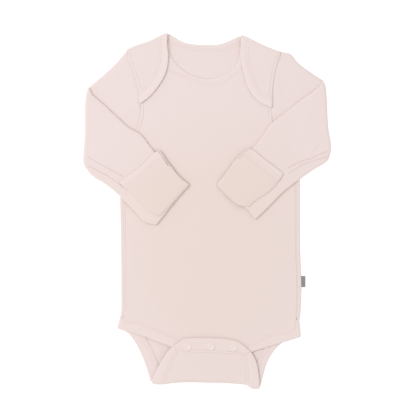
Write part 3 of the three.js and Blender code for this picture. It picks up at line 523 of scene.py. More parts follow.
# %% From arrays to an object
def put_mesh(name, points, triangles, uv, material):
    """Makes the object: points in millimetres, outward triangles and a texture map by corner."""
    mesh = bpy.data.meshes.new(name)
    mesh.vertices.add(len(points))
    mesh.vertices.foreach_set("co", (points * MM).astype(np.float32).ravel())
    mesh.loops.add(3 * len(triangles))
    mesh.loops.foreach_set("vertex_index", triangles.astype(np.int32).ravel())
    mesh.polygons.add(len(triangles))
    mesh.polygons.foreach_set("loop_start", np.arange(0, 3 * len(triangles), 3, dtype=np.int32))
    layer = mesh.uv_layers.new(name="cloth")
    layer.uv.foreach_set("vector", uv.astype(np.float32).ravel())
    mesh.update(calc_edges=True)
    mesh.validate()
    mesh.polygons.foreach_set("use_smooth", np.ones(len(mesh.polygons), bool))
    mesh.materials.append(material)
    made = bpy.data.objects.new(name, mesh)
    bpy.context.scene.collection.objects.link(made)
    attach(made, "root")
    return made

# %% [markdown]
# The wall itself. Grids that meet must share their points, so points that agree are made one.
# An edge that belongs to one triangle only is on the rim, and gets a lip that rounds it off.


# %% A wall of cloth
MERGE_PER_MM = 500  # points that agree to a 500th of a millimetre are one
RIM = 0.42  # how far a rim's rounding stands out, as a share of the thickness


def shell(name, grids, material, thickness=CLOTH, maps=None, round_by=RIM):
    """A closed wall round the middle surface that the grids make together."""
    all_points = np.vstack([g.reshape(-1, 3) for g in grids])
    walls = thickness if isinstance(thickness, list) else [thickness] * len(grids)
    thick = np.hstack([np.broadcast_to(t, g.shape[:2]).ravel() for t, g in zip(walls, grids)])
    maps = maps or [g[:, :, :2] for g in grids]
    all_maps = np.vstack([m.reshape(-1, 2) for m in maps])
    rounded = np.round(all_points * MERGE_PER_MM).astype(np.int64)
    _, first, same = np.unique(rounded, axis=0, return_index=True, return_inverse=True)
    same = same.ravel()
    points, thick = all_points[first], thick[first]
    count, start = len(points), 0
    kept, corners = [], []
    for g in grids:
        own = np.arange(start, start + g.shape[0] * g.shape[1]).reshape(g.shape[:2])
        start += own.size
        raw = triangles_of(own)
        tri = same[raw]
        raw, tri = raw[whole(tri)], tri[whole(tri)]
        if kept:
            done = edge_codes(np.vstack(kept), count)[0]
            if np.isin(edge_codes(tri, count)[0], done).any():
                raw, tri = raw[:, ::-1], tri[:, ::-1]
        kept.append(tri)
        corners.append(raw)
    tri, raw = np.vstack(kept), np.vstack(corners)
    normal = normals_of(points, tri)
    codes, ends = edge_codes(tri, count)
    border = ends[~np.isin(codes, ends[:, 1] * count + ends[:, 0])]
    way = points[border[:, 1]] - points[border[:, 0]]
    away = np.zeros_like(points)
    for k in (0, 1):
        np.add.at(away, border[:, k], np.cross(way, normal[border[:, k]]))
    rim = np.unique(border)
    away = away[rim] / np.maximum(np.linalg.norm(away[rim], axis=1), 1e-12)[:, None]
    half = thick[:, None] / 2
    lip = points[rim] + away * (thick[rim] * round_by)[:, None]
    place = np.full(count, -1)
    place[rim] = np.arange(len(rim)) + 2 * count
    a, b = border[:, 0], border[:, 1]
    outside = np.vstack([points + normal * half, points - normal * half, lip])
    outside[:, 2] = np.maximum(outside[:, 2], 0)  # flat where it rests on the table
    faces = np.vstack([
        tri, tri[:, ::-1] + count,
        np.column_stack([b, a, place[a]]), np.column_stack([b, place[a], place[b]]),
        np.column_stack([place[b], place[a], a + count]),
        np.column_stack([place[b], a + count, b + count]),
    ])
    flat_map = all_maps[first]
    rim_map = np.vstack([flat_map, flat_map, flat_map[rim]])
    uv = np.vstack([all_maps[raw].reshape(-1, 2), all_maps[raw[:, ::-1]].reshape(-1, 2),
                    rim_map[faces[2 * len(tri):]].reshape(-1, 2)])
    if faces_in(outside, faces):
        faces, uv = faces[:, ::-1], uv.reshape(-1, 3, 2)[:, ::-1].reshape(-1, 2)
    made = put_mesh(name, outside, faces, uv, material)
    a, b, c = (points[tri[:, k]] for k in range(3))
    area = np.linalg.norm(np.cross(b - a, c - a), axis=1).sum() / 2
    print(f"{name}: {len(faces)} triangles, cloth {area / 1e6:.4f} square metres")
    return made


# %% [markdown]
# The cloth is a fine single jersey in a very pale pink. Real wales are about 0.7 mm apart, finer
# than a pixel, so the ribs are drawn 1.1 mm apart and very low, which gives the surface a soft
# grain without a pattern. Over the belly the colour drifts a little darker and towards cream:
# partly the cloth's own tint, partly painted shade of the light's falloff there. A light sheen
# stands for the fuzz of loose fibres.


# %% Materials
def colour(code):
    """A hex colour, which is in sRGB, as the linear numbers that Blender mixes."""
    value = np.array([int(code[k : k + 2], 16) for k in (1, 3, 5)]) / 255
    linear = np.where(value <= 0.04045, value / 12.92, ((value + 0.055) / 1.055) ** 2.4)
    return (*linear.tolist(), 1.0)


def add_node(tree, kind, settings=None, links=None):
    """One node, with its settings, and its inputs set to a value or linked to a socket."""
    made = tree.nodes.new(kind)
    for key, value in (settings or {}).items():
        setattr(made, key, value)
    for key, value in (links or {}).items():
        if isinstance(value, bpy.types.NodeSocket):
            tree.links.new(value, made.inputs[key])
        else:
            made.inputs[key].default_value = value
    return made


def new_material(name, roughness, specular=0.5):
    """A plain material, its node tree and its shader, to be set further."""
    made = bpy.data.materials.new(name)
    made.use_nodes = True
    shader = made.node_tree.nodes["Principled BSDF"]
    shader.inputs["Roughness"].default_value = roughness
    shader.inputs["Specular IOR Level"].default_value = specular
    return made, made.node_tree, shader

# %% [markdown]
# Jersey: wales are low ribs that run along the cloth's own map, fibres are a fine noise, and
# the colour changes with the place on the garment by a smooth step away from the belly, whose
# darker cream is partly painted shade.


# %% Jersey
RIB_MM = 1.1
WAVE_LENGTH = 0.314  # of a wave texture at scale 1
KNIT_DEPTH_MM = 0.05
FUZZ_MM = 3.0
# centre and reach of the belly's darker cream: the cloth's tint with painted shade in it
SHADED_CREAM_MIDDLE = (0.006, -0.045)
SHADED_CREAM_REACH = (0.055, 0.150)


def jersey(name, pink, cream_and_shade, depth=KNIT_DEPTH_MM):
    """Knitted cotton: ribs along the cloth's own map, a drift of colour towards a darker cream that
    is partly painted shade, and a sheen.
    """
    made, tree, shader = new_material(name, 0.92, 0.25)
    coordinates = add_node(tree, "ShaderNodeTexCoord")
    ribs = add_node(tree, "ShaderNodeTexWave", {"wave_type": "BANDS", "bands_direction": "X"}, {
        "Vector": coordinates.outputs["UV"], "Scale": WAVE_LENGTH / RIB_MM, "Distortion": 1.2,
        "Detail": 1.0, "Detail Scale": 1.0,
    })
    fuzz = add_node(tree, "ShaderNodeTexNoise", {}, {
        "Vector": coordinates.outputs["UV"], "Scale": 1 / FUZZ_MM, "Detail": 4.0, "Roughness": 0.65,
    })
    grain = add_node(tree, "ShaderNodeMath", {"operation": "MULTIPLY_ADD"}, {
        0: fuzz.outputs["Fac"], 1: 0.8, 2: ribs.outputs["Fac"],
    })
    bump = add_node(tree, "ShaderNodeBump", {}, {
        "Height": grain.outputs["Value"], "Distance": depth * MM, "Strength": 0.6,
    })
    tree.links.new(bump.outputs["Normal"], shader.inputs["Normal"])
    place = add_node(tree, "ShaderNodeVectorMath", {"operation": "MULTIPLY"}, {
        0: coordinates.outputs["Object"], 1: (1.0, 0.8, 0.0),
    })
    away = add_node(tree, "ShaderNodeVectorMath", {"operation": "DISTANCE"}, {
        0: place.outputs["Vector"], 1: (SHADED_CREAM_MIDDLE[0], 0.8 * SHADED_CREAM_MIDDLE[1], 0.0),
    })
    cream_shade_drift = add_node(tree, "ShaderNodeMapRange", {"interpolation_type": "SMOOTHSTEP"}, {
        "Value": away.outputs["Value"], "From Min": SHADED_CREAM_REACH[0], "From Max": SHADED_CREAM_REACH[1],
    })
    # pink mixed with the darker cream over the belly, which is partly painted shade
    mixed = add_node(tree, "ShaderNodeMix", {"data_type": "RGBA"}, {
        "Factor": cream_shade_drift.outputs["Result"], 6: colour(cream_and_shade), 7: colour(pink),
    })
    tree.links.new(mixed.outputs[2], shader.inputs["Base Color"])
    shader.inputs["Sheen Weight"].default_value = 0.12
    shader.inputs["Sheen Roughness"].default_value = 0.5
    return made


# the second colour of each is the belly's darker cream: the cloth's tint plus painted shade
BODY_JERSEY = jersey("cotton jersey, pale pink", "#EEDEDB", "#ECDBD5")
MITTEN_JERSEY = jersey("cotton jersey, the mittens", "#ECDCD6", "#EAD9D1")
BINDING_DEPTH_MM = 0.04  # doubled cloth is stretched a little smoother
BINDING_JERSEY = jersey("cotton jersey, doubled binding", "#EFDFDC", "#EDDCD7", BINDING_DEPTH_MM)
print("jersey for", [m.name for m in bpy.data.materials if "jersey" in m.name])

# %% [markdown]
# The small parts: sewing thread has a soft gloss, the caps have that of enamel, with an IOR of
# 1.5, and the ribbon is a close, plain weave in grey that looks matt. The thread is the cloth's
# pink, drawn darker than the cloth as painted shade of the grooves that the stitches sink into.

# %% Thread, enamel and ribbon
THREAD_WITH_PAINTED_SHADE, _, shaded_thread_shader = new_material("polyester sewing thread, pale pink", 0.55)
# a darker pink than the cloth: the thread's own pink plus painted shade of its grooves
shaded_thread_shader.inputs["Base Color"].default_value = colour("#E6CCC7")
ENAMEL, _, enamel_shader = new_material("enamelled snap cap, pale pink", 0.35)
enamel_shader.inputs["Base Color"].default_value = colour("#EFDFDC")
enamel_shader.inputs["IOR"].default_value = 1.5
RIBBON, _, ribbon_shader = new_material("woven polyester ribbon, grey", 0.75)
ribbon_shader.inputs["Base Color"].default_value = colour("#8E8C8C")
print("materials:", len(bpy.data.materials))

# %% [markdown]
# Both halves of the body share seams between several pieces, so these are worked out once. The
# panels run a little way into their bindings, where the raw edge lies in the real garment.


# %% Seams of the two halves
def seams(half, inward):
    """Runs on one side. Inward is -1 on the left: to the right of a run that goes up."""
    foot = share_near(half["armhole"], half["lap_seam"][-1])
    toe = share_near(half["armhole"], half["lap_edge"][-1])
    side = even(half["side"], start=1, stop=0)
    wrap = shifted(side, inward * SIDE_WRAP)
    tries = np.linspace(0, 1, TRIES)
    past = inward * (along(half["leg_front_seam"], tries)[:, 0] - wrap[0, 0]) < 0
    shoulder = even(half["shoulder"], start=0.02)
    inset = (LAP_Z - BACK_Z) / 2 + CLOTH / 2
    return {
        "inward": inward,
        "foot": foot,
        "toe": toe,
        "side": side,
        "wrap": wrap,
        "corner": tries[np.argmax(past)],
        "axis": shifted(shoulder, inward * inset),
    }


left_seams, right_seams = seams(LEFT, -1), seams(RIGHT, 1)
HALVES = [(LEFT, left_seams), (RIGHT, right_seams)]
crotch_axis = shifted(even(CROTCH_FOLD), (LAP_Z - BACK_Z) / 2 + CLOTH / 2)
neck_seam = even(BACK_NECK_SEAM)
print("side seams:", [round(length_of(s["side"])) for _, s in HALVES], "mm")

# %% [markdown]
# The back is one cut of cloth: it lies on the table, turns up round both sides, folds over the
# shoulders as the two laps and over the crotch as the snap flap. It shows inside the neck and in
# the leg openings, and its rounded sides are what one sees outside the side seams.


# %% Back
LAP_SINK = 0.7  # how far a lap comes down to its sleeve at the armhole
LAP_SINK_REACH = 4.5
FOLD_CLEAR = 3.6  # where a piece folds over, its edge is read again from this far on
FOOT_SHARE = 0.99  # share of the armhole at which the back's side meets it
FOOT_DROP = 1.4  # how far below that place they meet


def clear(rows, start=False, stop=False):
    """The curve through rows, read evenly, less what lies in a fold at its start or its end."""
    gap = after(rows, FOLD_CLEAR)
    return even(rows, start=gap * start, stop=1 - gap * stop)


def back_edge(half, s, foot):
    """The leg, the side and the armhole of one side of the back, going up."""
    inward = s["inward"]
    leg = shifted(clear(half["leg_back_seam"], stop=True)[::-1], -inward * TUCK)
    side = shifted(s["side"], inward * ((FRONT_Z - BACK_Z) / 2 + CLOTH / 2))
    arm = even(half["armhole"], start=FOOT_SHARE, stop=after(half["armhole"], FOLD_CLEAR))
    arm[0] = (side[-1, 0], arm[0, 1] - FOOT_DROP)
    leg[-1], side[-1] = side[0], arm[0]
    return joined(foot[None], leg), side, np.vstack([arm, s["axis"][:1]])

# %% [markdown]
# The panel is built from the bottom layer up: what lies on the table first, then each fold out
# of it, and what the fold brings to the upper side.


# %% The back panel
def back_panel():
    """A patch on the table, and folds out of it: half circles up both sides, over the shoulders
    into the laps and over the crotch into the flap, each of which is a patch one layer higher."""
    ends = (crotch_axis[0], crotch_axis[-1])
    parts = [back_edge(h, s, foot) for (h, s), foot in zip(HALVES, ends)]
    counts = [max(len(p[k]) for p in parts) for k in range(3)]
    left, right = (joined(*[resampled(r, n) for r, n in zip(p, counts)]) for p in parts)
    neck = shifted(neck_seam, TUCK)
    neck[0], neck[-1] = left_seams["axis"][-1], right_seams["axis"][-1]
    axes = [resampled(s["axis"], max(len(t["axis"]) for _, t in HALVES)) for _, s in HALVES]
    top = joined(axes[0], neck, axes[1][::-1])
    bottom = resampled(crotch_axis, len(top))
    plan = patch(left, right, bottom, top)
    x, y = plan[:, :, 0], plan[:, :, 1]
    inner = np.minimum(1, 12 * (1 - np.abs(np.linspace(-1, 1, plan.shape[1]))))[None]
    grids = [at_height(plan, BACK_Z + inner * np.abs(creases(BACK_CREASES, x, y)))]
    for edge, (half, s), axis in zip((left, right), HALVES, axes):
        inward = s["inward"]
        run = edge[counts[0] - 1 : counts[0] + counts[1] - 1]
        out = -inward * square_to(run)
        rows = fold_rows(run, out, BACK_Z, FRONT_Z)
        reach = SIDE_WRAP - (FRONT_Z - BACK_Z) / 2 - CLOTH / 2
        steps = np.array([0.5, 1])[:, None, None] * reach
        inside = at_height(run[None] - steps * out[None], FRONT_Z)
        grids.append(np.concatenate([rows, inside]))
        out = -inward * square_to(axis)
        grids.append(fold_rows(axis, out, BACK_Z, LAP_Z, 10))
        start = after(half["armhole"], FOLD_CLEAR)
        cut = np.vstack([axis[:1], even(half["armhole"], start=start, stop=s["foot"])])
        seam = shifted(even(half["lap_seam"], start=0, stop=0.99), -inward * TUCK)
        seam = resampled(seam, len(cut))
        seam[0] = axis[-1]
        end = cut[-1] + np.linspace(0, 1, len(axis))[:, None] * (seam[-1] - cut[-1])
        lap = patch(cut, seam, axis, end)
        x, y = lap[:, :, 0], lap[:, :, 1]
        from_cut = np.linalg.norm(lap - lap[:, :1], axis=2)
        down = LAP_SINK * (1 - fade(from_cut, 0, LAP_SINK_REACH))
        down = down * np.linspace(0, 1, len(lap))[:, None] ** 0.3
        laid = at_height(lap, LAP_Z + swell(x, y) + creases(LAP_CREASES, x, y) - down)
        grids.append(laid)
        skins["lap_left" if inward < 0 else "lap_right"] = top_of(laid)
    down = np.tile((0.0, -1.0), (len(bottom), 1))
    grids.append(fold_rows(bottom, down, BACK_Z, LAP_Z, 10))
    sides = [shifted(clear(h["flap_seam"], start=True), s["inward"] * -TUCK) for h, s in HALVES]
    count = max(len(r) for r in sides) + 2
    ends = (bottom[0], bottom[-1])
    sides = [resampled(joined(end[None], r), count) for end, r in zip(ends, sides)]
    placket_edge = matched(shifted(even(PLACKET_SEAM), TUCK), bottom)
    flap = patch(sides[0], sides[1], bottom, placket_edge)
    x, y = flap[:, :, 0], flap[:, :, 1]
    laid = at_height(flap, LAP_Z + creases(FLAP_CREASES, x, y))
    grids.append(laid)
    return shell("back_knit", grids, BODY_JERSEY)


back = back_panel()
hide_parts("back_panel")

# %% [markdown]
# The front lies on the back, under the laps and the flap. It meets the back's rounded sides at
# the side seams, and its tab reaches down under the flap, where the lower snaps sit.


# %% Front
NECK_CORNERS = [(-44.5, 154.5), (39.9, 158.5)]
ARM_CORNERS = [(-75.2, 126.0), (72.4, 124.0)]
UNDERARM = 4.0  # how far up the armhole the front's own edge takes over from the side
CORNER_TUCK = 0.3  # the corner at the hip goes a little under the rounded side
STRAP_TOP = 0.035  # share of the armhole at which the front ends, under the lap


def straight(start, end):
    """A straight run between two places, its points about a step apart."""
    count = max(2, round(float(np.linalg.norm(np.subtract(end, start))) / STEP))
    return np.linspace(start, end, count + 1)


def front_edge(half, s, corner):
    """The leg, the side and the lower armhole of one side, going up, and the armhole above."""
    inward = s["inward"]
    leg = shifted(even(half["leg_front_seam"], start=s["corner"])[::-1], -inward * TUCK)
    foot = share_near(half["armhole"], s["wrap"][-1] + (0, UNDERARM))
    bend = share_near(half["armhole"], corner)
    arm = even(half["armhole"], start=foot, stop=bend)
    wrap = s["wrap"].copy()
    wrap = joined(np.array([[wrap[0, 0], leg[-1, 1]]]), wrap)
    wrap[:2, 0] += inward * CORNER_TUCK
    leg[-1], wrap[-1] = wrap[0], arm[0]
    return [leg, wrap, arm], even(half["armhole"], start=bend, stop=STRAP_TOP)

# %% [markdown]
# One patch would fold over at the deep neckline, so the front is three: the body, and a strap
# on each side of the neck that goes up under the lap.


# %% The front panel
def front_panel():
    """Three patches that share edges: the body up to the neckline's bottom, and a strap at each
    side of the neck. Their height is the layer's, plus its swell and its creases."""
    edges = [front_edge(h, s, c) for (h, s), c in zip(HALVES, ARM_CORNERS)]
    counts = [max(len(e[0][k]) for e in edges) for k in range(3)]
    left, right = (joined(*[resampled(r, n) for r, n in zip(e[0], counts)]) for e in edges)
    bends = [share_near(FRONT_NECK_SEAM, c) for c in NECK_CORNERS]
    neck = shifted(even(FRONT_NECK_SEAM, start=bends[0], stop=bends[1]), TUCK)
    lines = [straight(left[-1], neck[0]), straight(right[-1], neck[-1])]
    top = joined(lines[0], neck, lines[1][::-1])
    bottom = np.linspace(left[0], right[0], len(top))
    plans = [patch(left, right, bottom, top)]
    for (_, arm), line, start, stop in zip(edges, lines, bends, (0, 1)):
        neck_side = even(FRONT_NECK_SEAM, start=start, stop=stop)
        neck_side = shifted(neck_side, TUCK * (1 if stop else -1))
        count = max(len(arm), len(neck_side))
        arm, neck_side = resampled(arm, count), resampled(neck_side, count)
        neck_side[0] = line[-1]
        plans.append(patch(arm, neck_side, line, np.linspace(arm[-1], neck_side[-1], len(line))))
    grids = []
    for plan in plans:
        x, y = plan[:, :, 0], plan[:, :, 1]
        grids.append(at_height(plan, FRONT_Z + swell(x, y) + creases(FRONT_CREASES, x, y)))
    skins["front"] = np.vstack([top_of(g) for g in grids])
    return shell("front_knit", grids, BODY_JERSEY)


front = front_panel()
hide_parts("front_panel")

# %% [markdown]
# A binding is a strip of the same jersey folded over the raw edge and sewn down with two rows of
# stitches. Across it the thickness swells in the middle, dips where the two rows pull it down,
# and rounds off at the fold. Along it the cloth puckers a little between stitches.

# %% Bindings
NEEDLE_ROWS = (2.0, 4.6)  # from the seam, in millimetres
NEEDLE_PULL = {"depth": 0.34, "reach": 0.75}  # how the stitches draw the binding thinner
PUCKER = {"height": 0.10, "length": 7.5}
EXTRA = 0.12  # what a binding's middle is thicker than two layers
NARROW = (8, 9)  # widths below which the pucker and the pull get weaker
ACROSS = 27


def from_fold(row, z, grid, thick):
    """A strip that comes out of a fold: the fold's row is set before its own rows."""
    first = np.column_stack([row, np.full(len(row), z)])
    return np.concatenate([first[None], grid]), np.concatenate([thick[:1], thick])


def strip(seam, edge, height, seed, lift=0.0):
    """A binding between its seam and its free edge: the grid, its thickness, and the rows where
    the needles ran. Height is a number or a function of plan x and y, and lift is added to it."""
    share = np.linspace(0, 1, ACROSS)
    plan = seam[:, None] + share[None, :, None] * (edge - seam)[:, None]
    x, y = plan[:, :, 0], plan[:, :, 1]
    run = run_length(seam)[:, None]
    wide = np.linalg.norm(edge - seam, axis=1)[:, None]
    out = share[None] * wide
    z = height(x, y) if callable(height) else np.full(x.shape, float(height))
    pucker = PUCKER["height"] * ripple(run, PUCKER["length"], seed) * np.sin(np.pi * share)[None]
    pucker = pucker * np.minimum(1, wide / NARROW[0])
    dips = sum(np.exp(-(((out - row) / NEEDLE_PULL["reach"]) ** 2)) for row in NEEDLE_ROWS)
    body = 1 - 0.5 * np.abs(2 * share - 1) ** 5
    thick = BINDING * body[None] + EXTRA
    thick = thick - NEEDLE_PULL["depth"] * dips * np.minimum(1, wide / NARROW[1])
    z = z + pucker + lift
    top = z + thick / 2
    spots = np.arange(len(seam))
    rows = []
    for row in NEEDLE_ROWS:
        column = np.clip(row / wide[:, 0], 0, 1) * (ACROSS - 1)
        near = np.minimum(column.astype(int), ACROSS - 2)
        part = column - near
        level = top[spots, near] * (1 - part) + top[spots, near + 1] * part
        rows.append(np.column_stack([seam + (edge - seam) * (row / wide), level]))
    return np.dstack([plan, z]), thick, rows

# %% [markdown]
# Where a binding lies on a swollen layer it follows it, and where it ends in the air it may
# rise or sink a little across its width. The front neckline sinks to rest on the back.


# %% Binding of the front neckline
def rising(low, high):
    """Across a strip: 0 up to one share of its width, 1 from another on."""
    return fade(np.linspace(0, 1, ACROSS), low, high)


def on_layer(height):
    """The height of something that lies on a swollen layer, as a function of the place."""
    return lambda x, y: height + swell(x, y)


NECK_SAG = 0.85  # how far the front neckline comes down to rest on the back


def front_neck_binding():
    """One strip between the front's neckline and its free edge, sinking towards the back."""
    seam = even(FRONT_NECK_SEAM)
    edge = matched(even(FRONT_NECK_EDGE), seam)
    grid, thick, rows = strip(seam, edge, on_layer(FRONT_Z + 0.1), 1.0, -NECK_SAG * rising(0.3, 1))
    return shell("neck_binding_front_knit", [grid], BINDING_JERSEY, [thick]), rows

# %% [markdown]
# The other neck binding is one long strip that turns over the shoulders with the laps. Its
# free edge stands off the front by an uneven amount, more on the left.


# %% Binding of the back neck and the laps
LAP_LIFT = (0.7, 0.1)  # how far the left and the right lap's free edge stands off the front


def back_neck_binding():
    """Three strips, one round the neck and one on each lap, joined by folds at the shoulders."""
    grids, thicks, rows = [], [], []
    inset = (LAP_Z - BACK_BINDING_Z) / 2 + BINDING / 2
    ends = []
    for (half, s), seed, lift in zip(HALVES, (2.0, 3.0), LAP_LIFT):
        inward = s["inward"]
        cross = shifted(along(half["neck_point"], np.linspace(0, 1, ACROSS)), inward * inset)
        ends.append(cross)
        seam = clear(half["lap_seam"], start=True)
        edge = matched(clear(half["lap_edge"], start=True), seam)
        edge[-1] = along(half["armhole"], [s["toe"]])[0]
        grid, thick, needle = strip(seam, edge, on_layer(LAP_Z), seed, lift * rising(0.3, 1))
        grid, thick = from_fold(cross, LAP_Z, grid, thick)
        grids.append(grid)
        thicks.append(thick)
        rows += needle
        out = -inward * square_to(cross)
        fold = fold_rows(cross, out, BACK_BINDING_Z, LAP_Z, 10)
        grids.append(fold)
        thicks.append(np.broadcast_to(thick[0], fold.shape[:2]))
    seam = clear(BACK_NECK_SEAM, start=True, stop=True)
    edge = matched(clear(BACK_NECK_EDGE, start=True, stop=True), seam)
    grid, thick, needle = strip(seam, edge, BACK_BINDING_Z, 4.0)
    for cross in ends[::-1]:
        grid, thick = from_fold(cross, BACK_BINDING_Z, grid[::-1], thick[::-1])
    grids.insert(0, grid)
    thicks.insert(0, thick)
    order = [0, 2, 1, 4, 3]
    made = shell("neck_binding_back_knit", [grids[k] for k in order], BINDING_JERSEY,
                 [thicks[k] for k in order])
    return made, rows + needle


neck_front, neck_front_rows = front_neck_binding()
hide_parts("neck_binding_front")
neck_back, neck_back_rows = back_neck_binding()
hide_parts("neck_binding_back")

# %% [markdown]
# A leg's binding runs along the front of the leg, turns round the side seam, comes down the back
# of the leg, folds over with the crotch and runs up the side of the flap to the placket.


# %% Leg bindings
LEG_LIFT = 0.5  # how far the back of a leg's binding stands off the cloth at its seam


def leg_binding(half, s, name, seed):
    """Three strips, in front, at the back and on the flap, joined by two folds: round the side
    seam and over the crotch."""
    inward = s["inward"]
    inset = -inward * ((FRONT_Z - BACK_BINDING_Z) / 2 + BINDING / 2)
    waist = np.array(half["leg_back_seam"][0]) + (inset, 0)
    hip = np.array(half["hip"]) + (inset, 0)
    side = waist + np.linspace(0, 1, ACROSS)[:, None] * (hip - waist)
    lap_inset = inward * ((LAP_Z - BACK_BINDING_Z) / 2 + BINDING / 2)
    fold = shifted(along(half["crotch_fold"], np.linspace(0, 1, ACROSS)), lap_inset)
    fold[0, 0] = (crotch_axis[0] if inward < 0 else crotch_axis[-1])[0]

    corner = s["wrap"][0] - (inward * 0.5, 0.2)
    front_seam = np.vstack([waist, corner, even(half["leg_front_seam"], start=s["corner"])])
    front_seam = resampled(front_seam, len(front_seam) + 2)
    front_edge_run = matched(even(half["leg_front_edge"]), front_seam)
    fore, fore_thick, fore_rows = strip(front_seam, front_edge_run, FRONT_Z + 0.1, seed)
    fore[0] = np.column_stack([side, np.full(ACROSS, FRONT_Z)])
    out = inward * square_to(side)
    round_side = fold_rows(side, out, BACK_BINDING_Z, FRONT_Z)
    back_seam = clear(half["leg_back_seam"], stop=True)
    back_edge_run = matched(clear(half["leg_back_edge"], stop=True), back_seam)
    lift = LEG_LIFT * fade(np.linspace(0, 1, len(back_seam)), 0.15, 0.5)[:, None]
    lift = lift * (1 - rising(0, 0.7))
    rear, rear_thick, rear_rows = strip(back_seam, back_edge_run, BACK_BINDING_Z, seed + 1, lift)
    rear[0] = np.column_stack([side, np.full(ACROSS, BACK_BINDING_Z)])
    rear, rear_thick = from_fold(fold, BACK_BINDING_Z, rear[::-1], rear_thick[::-1])
    rear, rear_thick = rear[::-1], rear_thick[::-1]
    down = np.tile((0.0, -1.0), (ACROSS, 1))
    round_crotch = fold_rows(fold, down, BACK_BINDING_Z, LAP_Z, 10)
    flap_seam = clear(half["flap_seam"], start=True)
    flap_edge = matched(clear(half["flap_edge"], start=True), flap_seam)
    upper, upper_thick, upper_rows = strip(flap_seam, flap_edge, LAP_Z, seed + 2)
    upper, upper_thick = from_fold(fold, LAP_Z, upper, upper_thick)
    grids = [fore, round_side, rear, round_crotch, upper]
    side_thick = np.broadcast_to(fore_thick[0], round_side.shape[:2])
    crotch_thick = np.broadcast_to(upper_thick[0], round_crotch.shape[:2])
    thicks = [fore_thick, side_thick, rear_thick, crotch_thick, upper_thick]
    made = shell(name, grids, BINDING_JERSEY, thicks)
    return made, [[row[3:] for row in fore_rows], rear_rows, upper_rows]


leg_left, leg_left_rows = leg_binding(LEFT, left_seams, "leg_binding_left_knit", 5.0)
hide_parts("leg_binding_left")
leg_right, leg_right_rows = leg_binding(RIGHT, right_seams, "leg_binding_right_knit", 6.0)
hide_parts("leg_binding_right")

# %% [markdown]
# The placket is the doubled band along the flap's top that carries the snaps.


# %% Placket
def placket():
    """One strip from the flap's seam to its top edge, whose free edge stands up a little."""
    seam = even(PLACKET_SEAM)
    edge = matched(even(FLAP_TOP), seam)
    grid, thick, rows = strip(seam, edge, LAP_Z + 0.1, 8.0, 0.5 * rising(0.3, 1))
    return shell("placket_knit", [grid], BINDING_JERSEY, [thick]), rows


placket_knit, placket_rows = placket()
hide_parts("flap_placket")

# %% [markdown]
# A sleeve is a tube pressed flat: a flat upper and lower layer joined by round edges. It goes out
# from the armhole, folds over at the elbow, and comes back as the forearm over the body, so the
# layer that was underneath is on top there. All of it is one grid: round the tube, and along it.

# %% Sleeves
TUBE_ACROSS = 44
TUBE_EDGE = 6
FINE = 241  # points on a run that is read again round the tube
ELBOW_ROWS = 13
TUBE_TURN = 0.014  # share of the width that the round edge takes up on each side
FOLD_CORNER = 0.06  # share of the elbow's fold that its round corner takes up at each end
CORNER_LOSS = 0.95  # how much of the fold's squared reach is gone at its very ends
AXIS_CLEAR = 1.2  # next to the elbow's axis, a sleeve's edge is read again from this far on
AXIS_RISE = 2.0  # how far the axis starts above the upper arm's edge
FLAT_WIDTH = 62  # mean width of the flat sleeve, for the ribs' map


def tube_ring():
    """Places round the flattened tube: share of the width, and layer from 1 above to -1 below."""
    flat = np.linspace(TUBE_TURN, 1 - TUBE_TURN, TUBE_ACROSS)
    turn = np.linspace(np.pi / 2, -np.pi / 2, TUBE_EDGE + 1)[1:-1]
    bulge = TUBE_TURN * np.cos(turn)
    share = np.concatenate([flat, flat[-1] + bulge, flat[::-1], flat[0] - bulge])
    ones = np.ones(TUBE_ACROSS)
    layer = np.concatenate([ones, np.sin(turn), -ones, -np.sin(turn)])
    return np.append(share, share[0]), np.append(layer, layer[0])

# %% [markdown]
# The sleeve's plan is two patches that meet at the elbow. Between them the fold turns over,
# with the outer layer on a wider half circle than the inner one, and rounded corners.


# %% The two sleeves
def read(run, shares):
    """Points of a run at shares of its count, straight between neighbours."""
    at = np.linspace(0, 1, len(run))
    return np.column_stack([np.interp(shares, at, run[:, k]) for k in (0, 1)])


def from_axis(run, corner, side):
    """A sleeve's edge, started at the end of the elbow's axis, with what lies beyond cut off."""
    inside = side * (corner[0] - run[:, 0]) > AXIS_CLEAR
    return resampled(joined(corner[None], run[inside]), len(run))


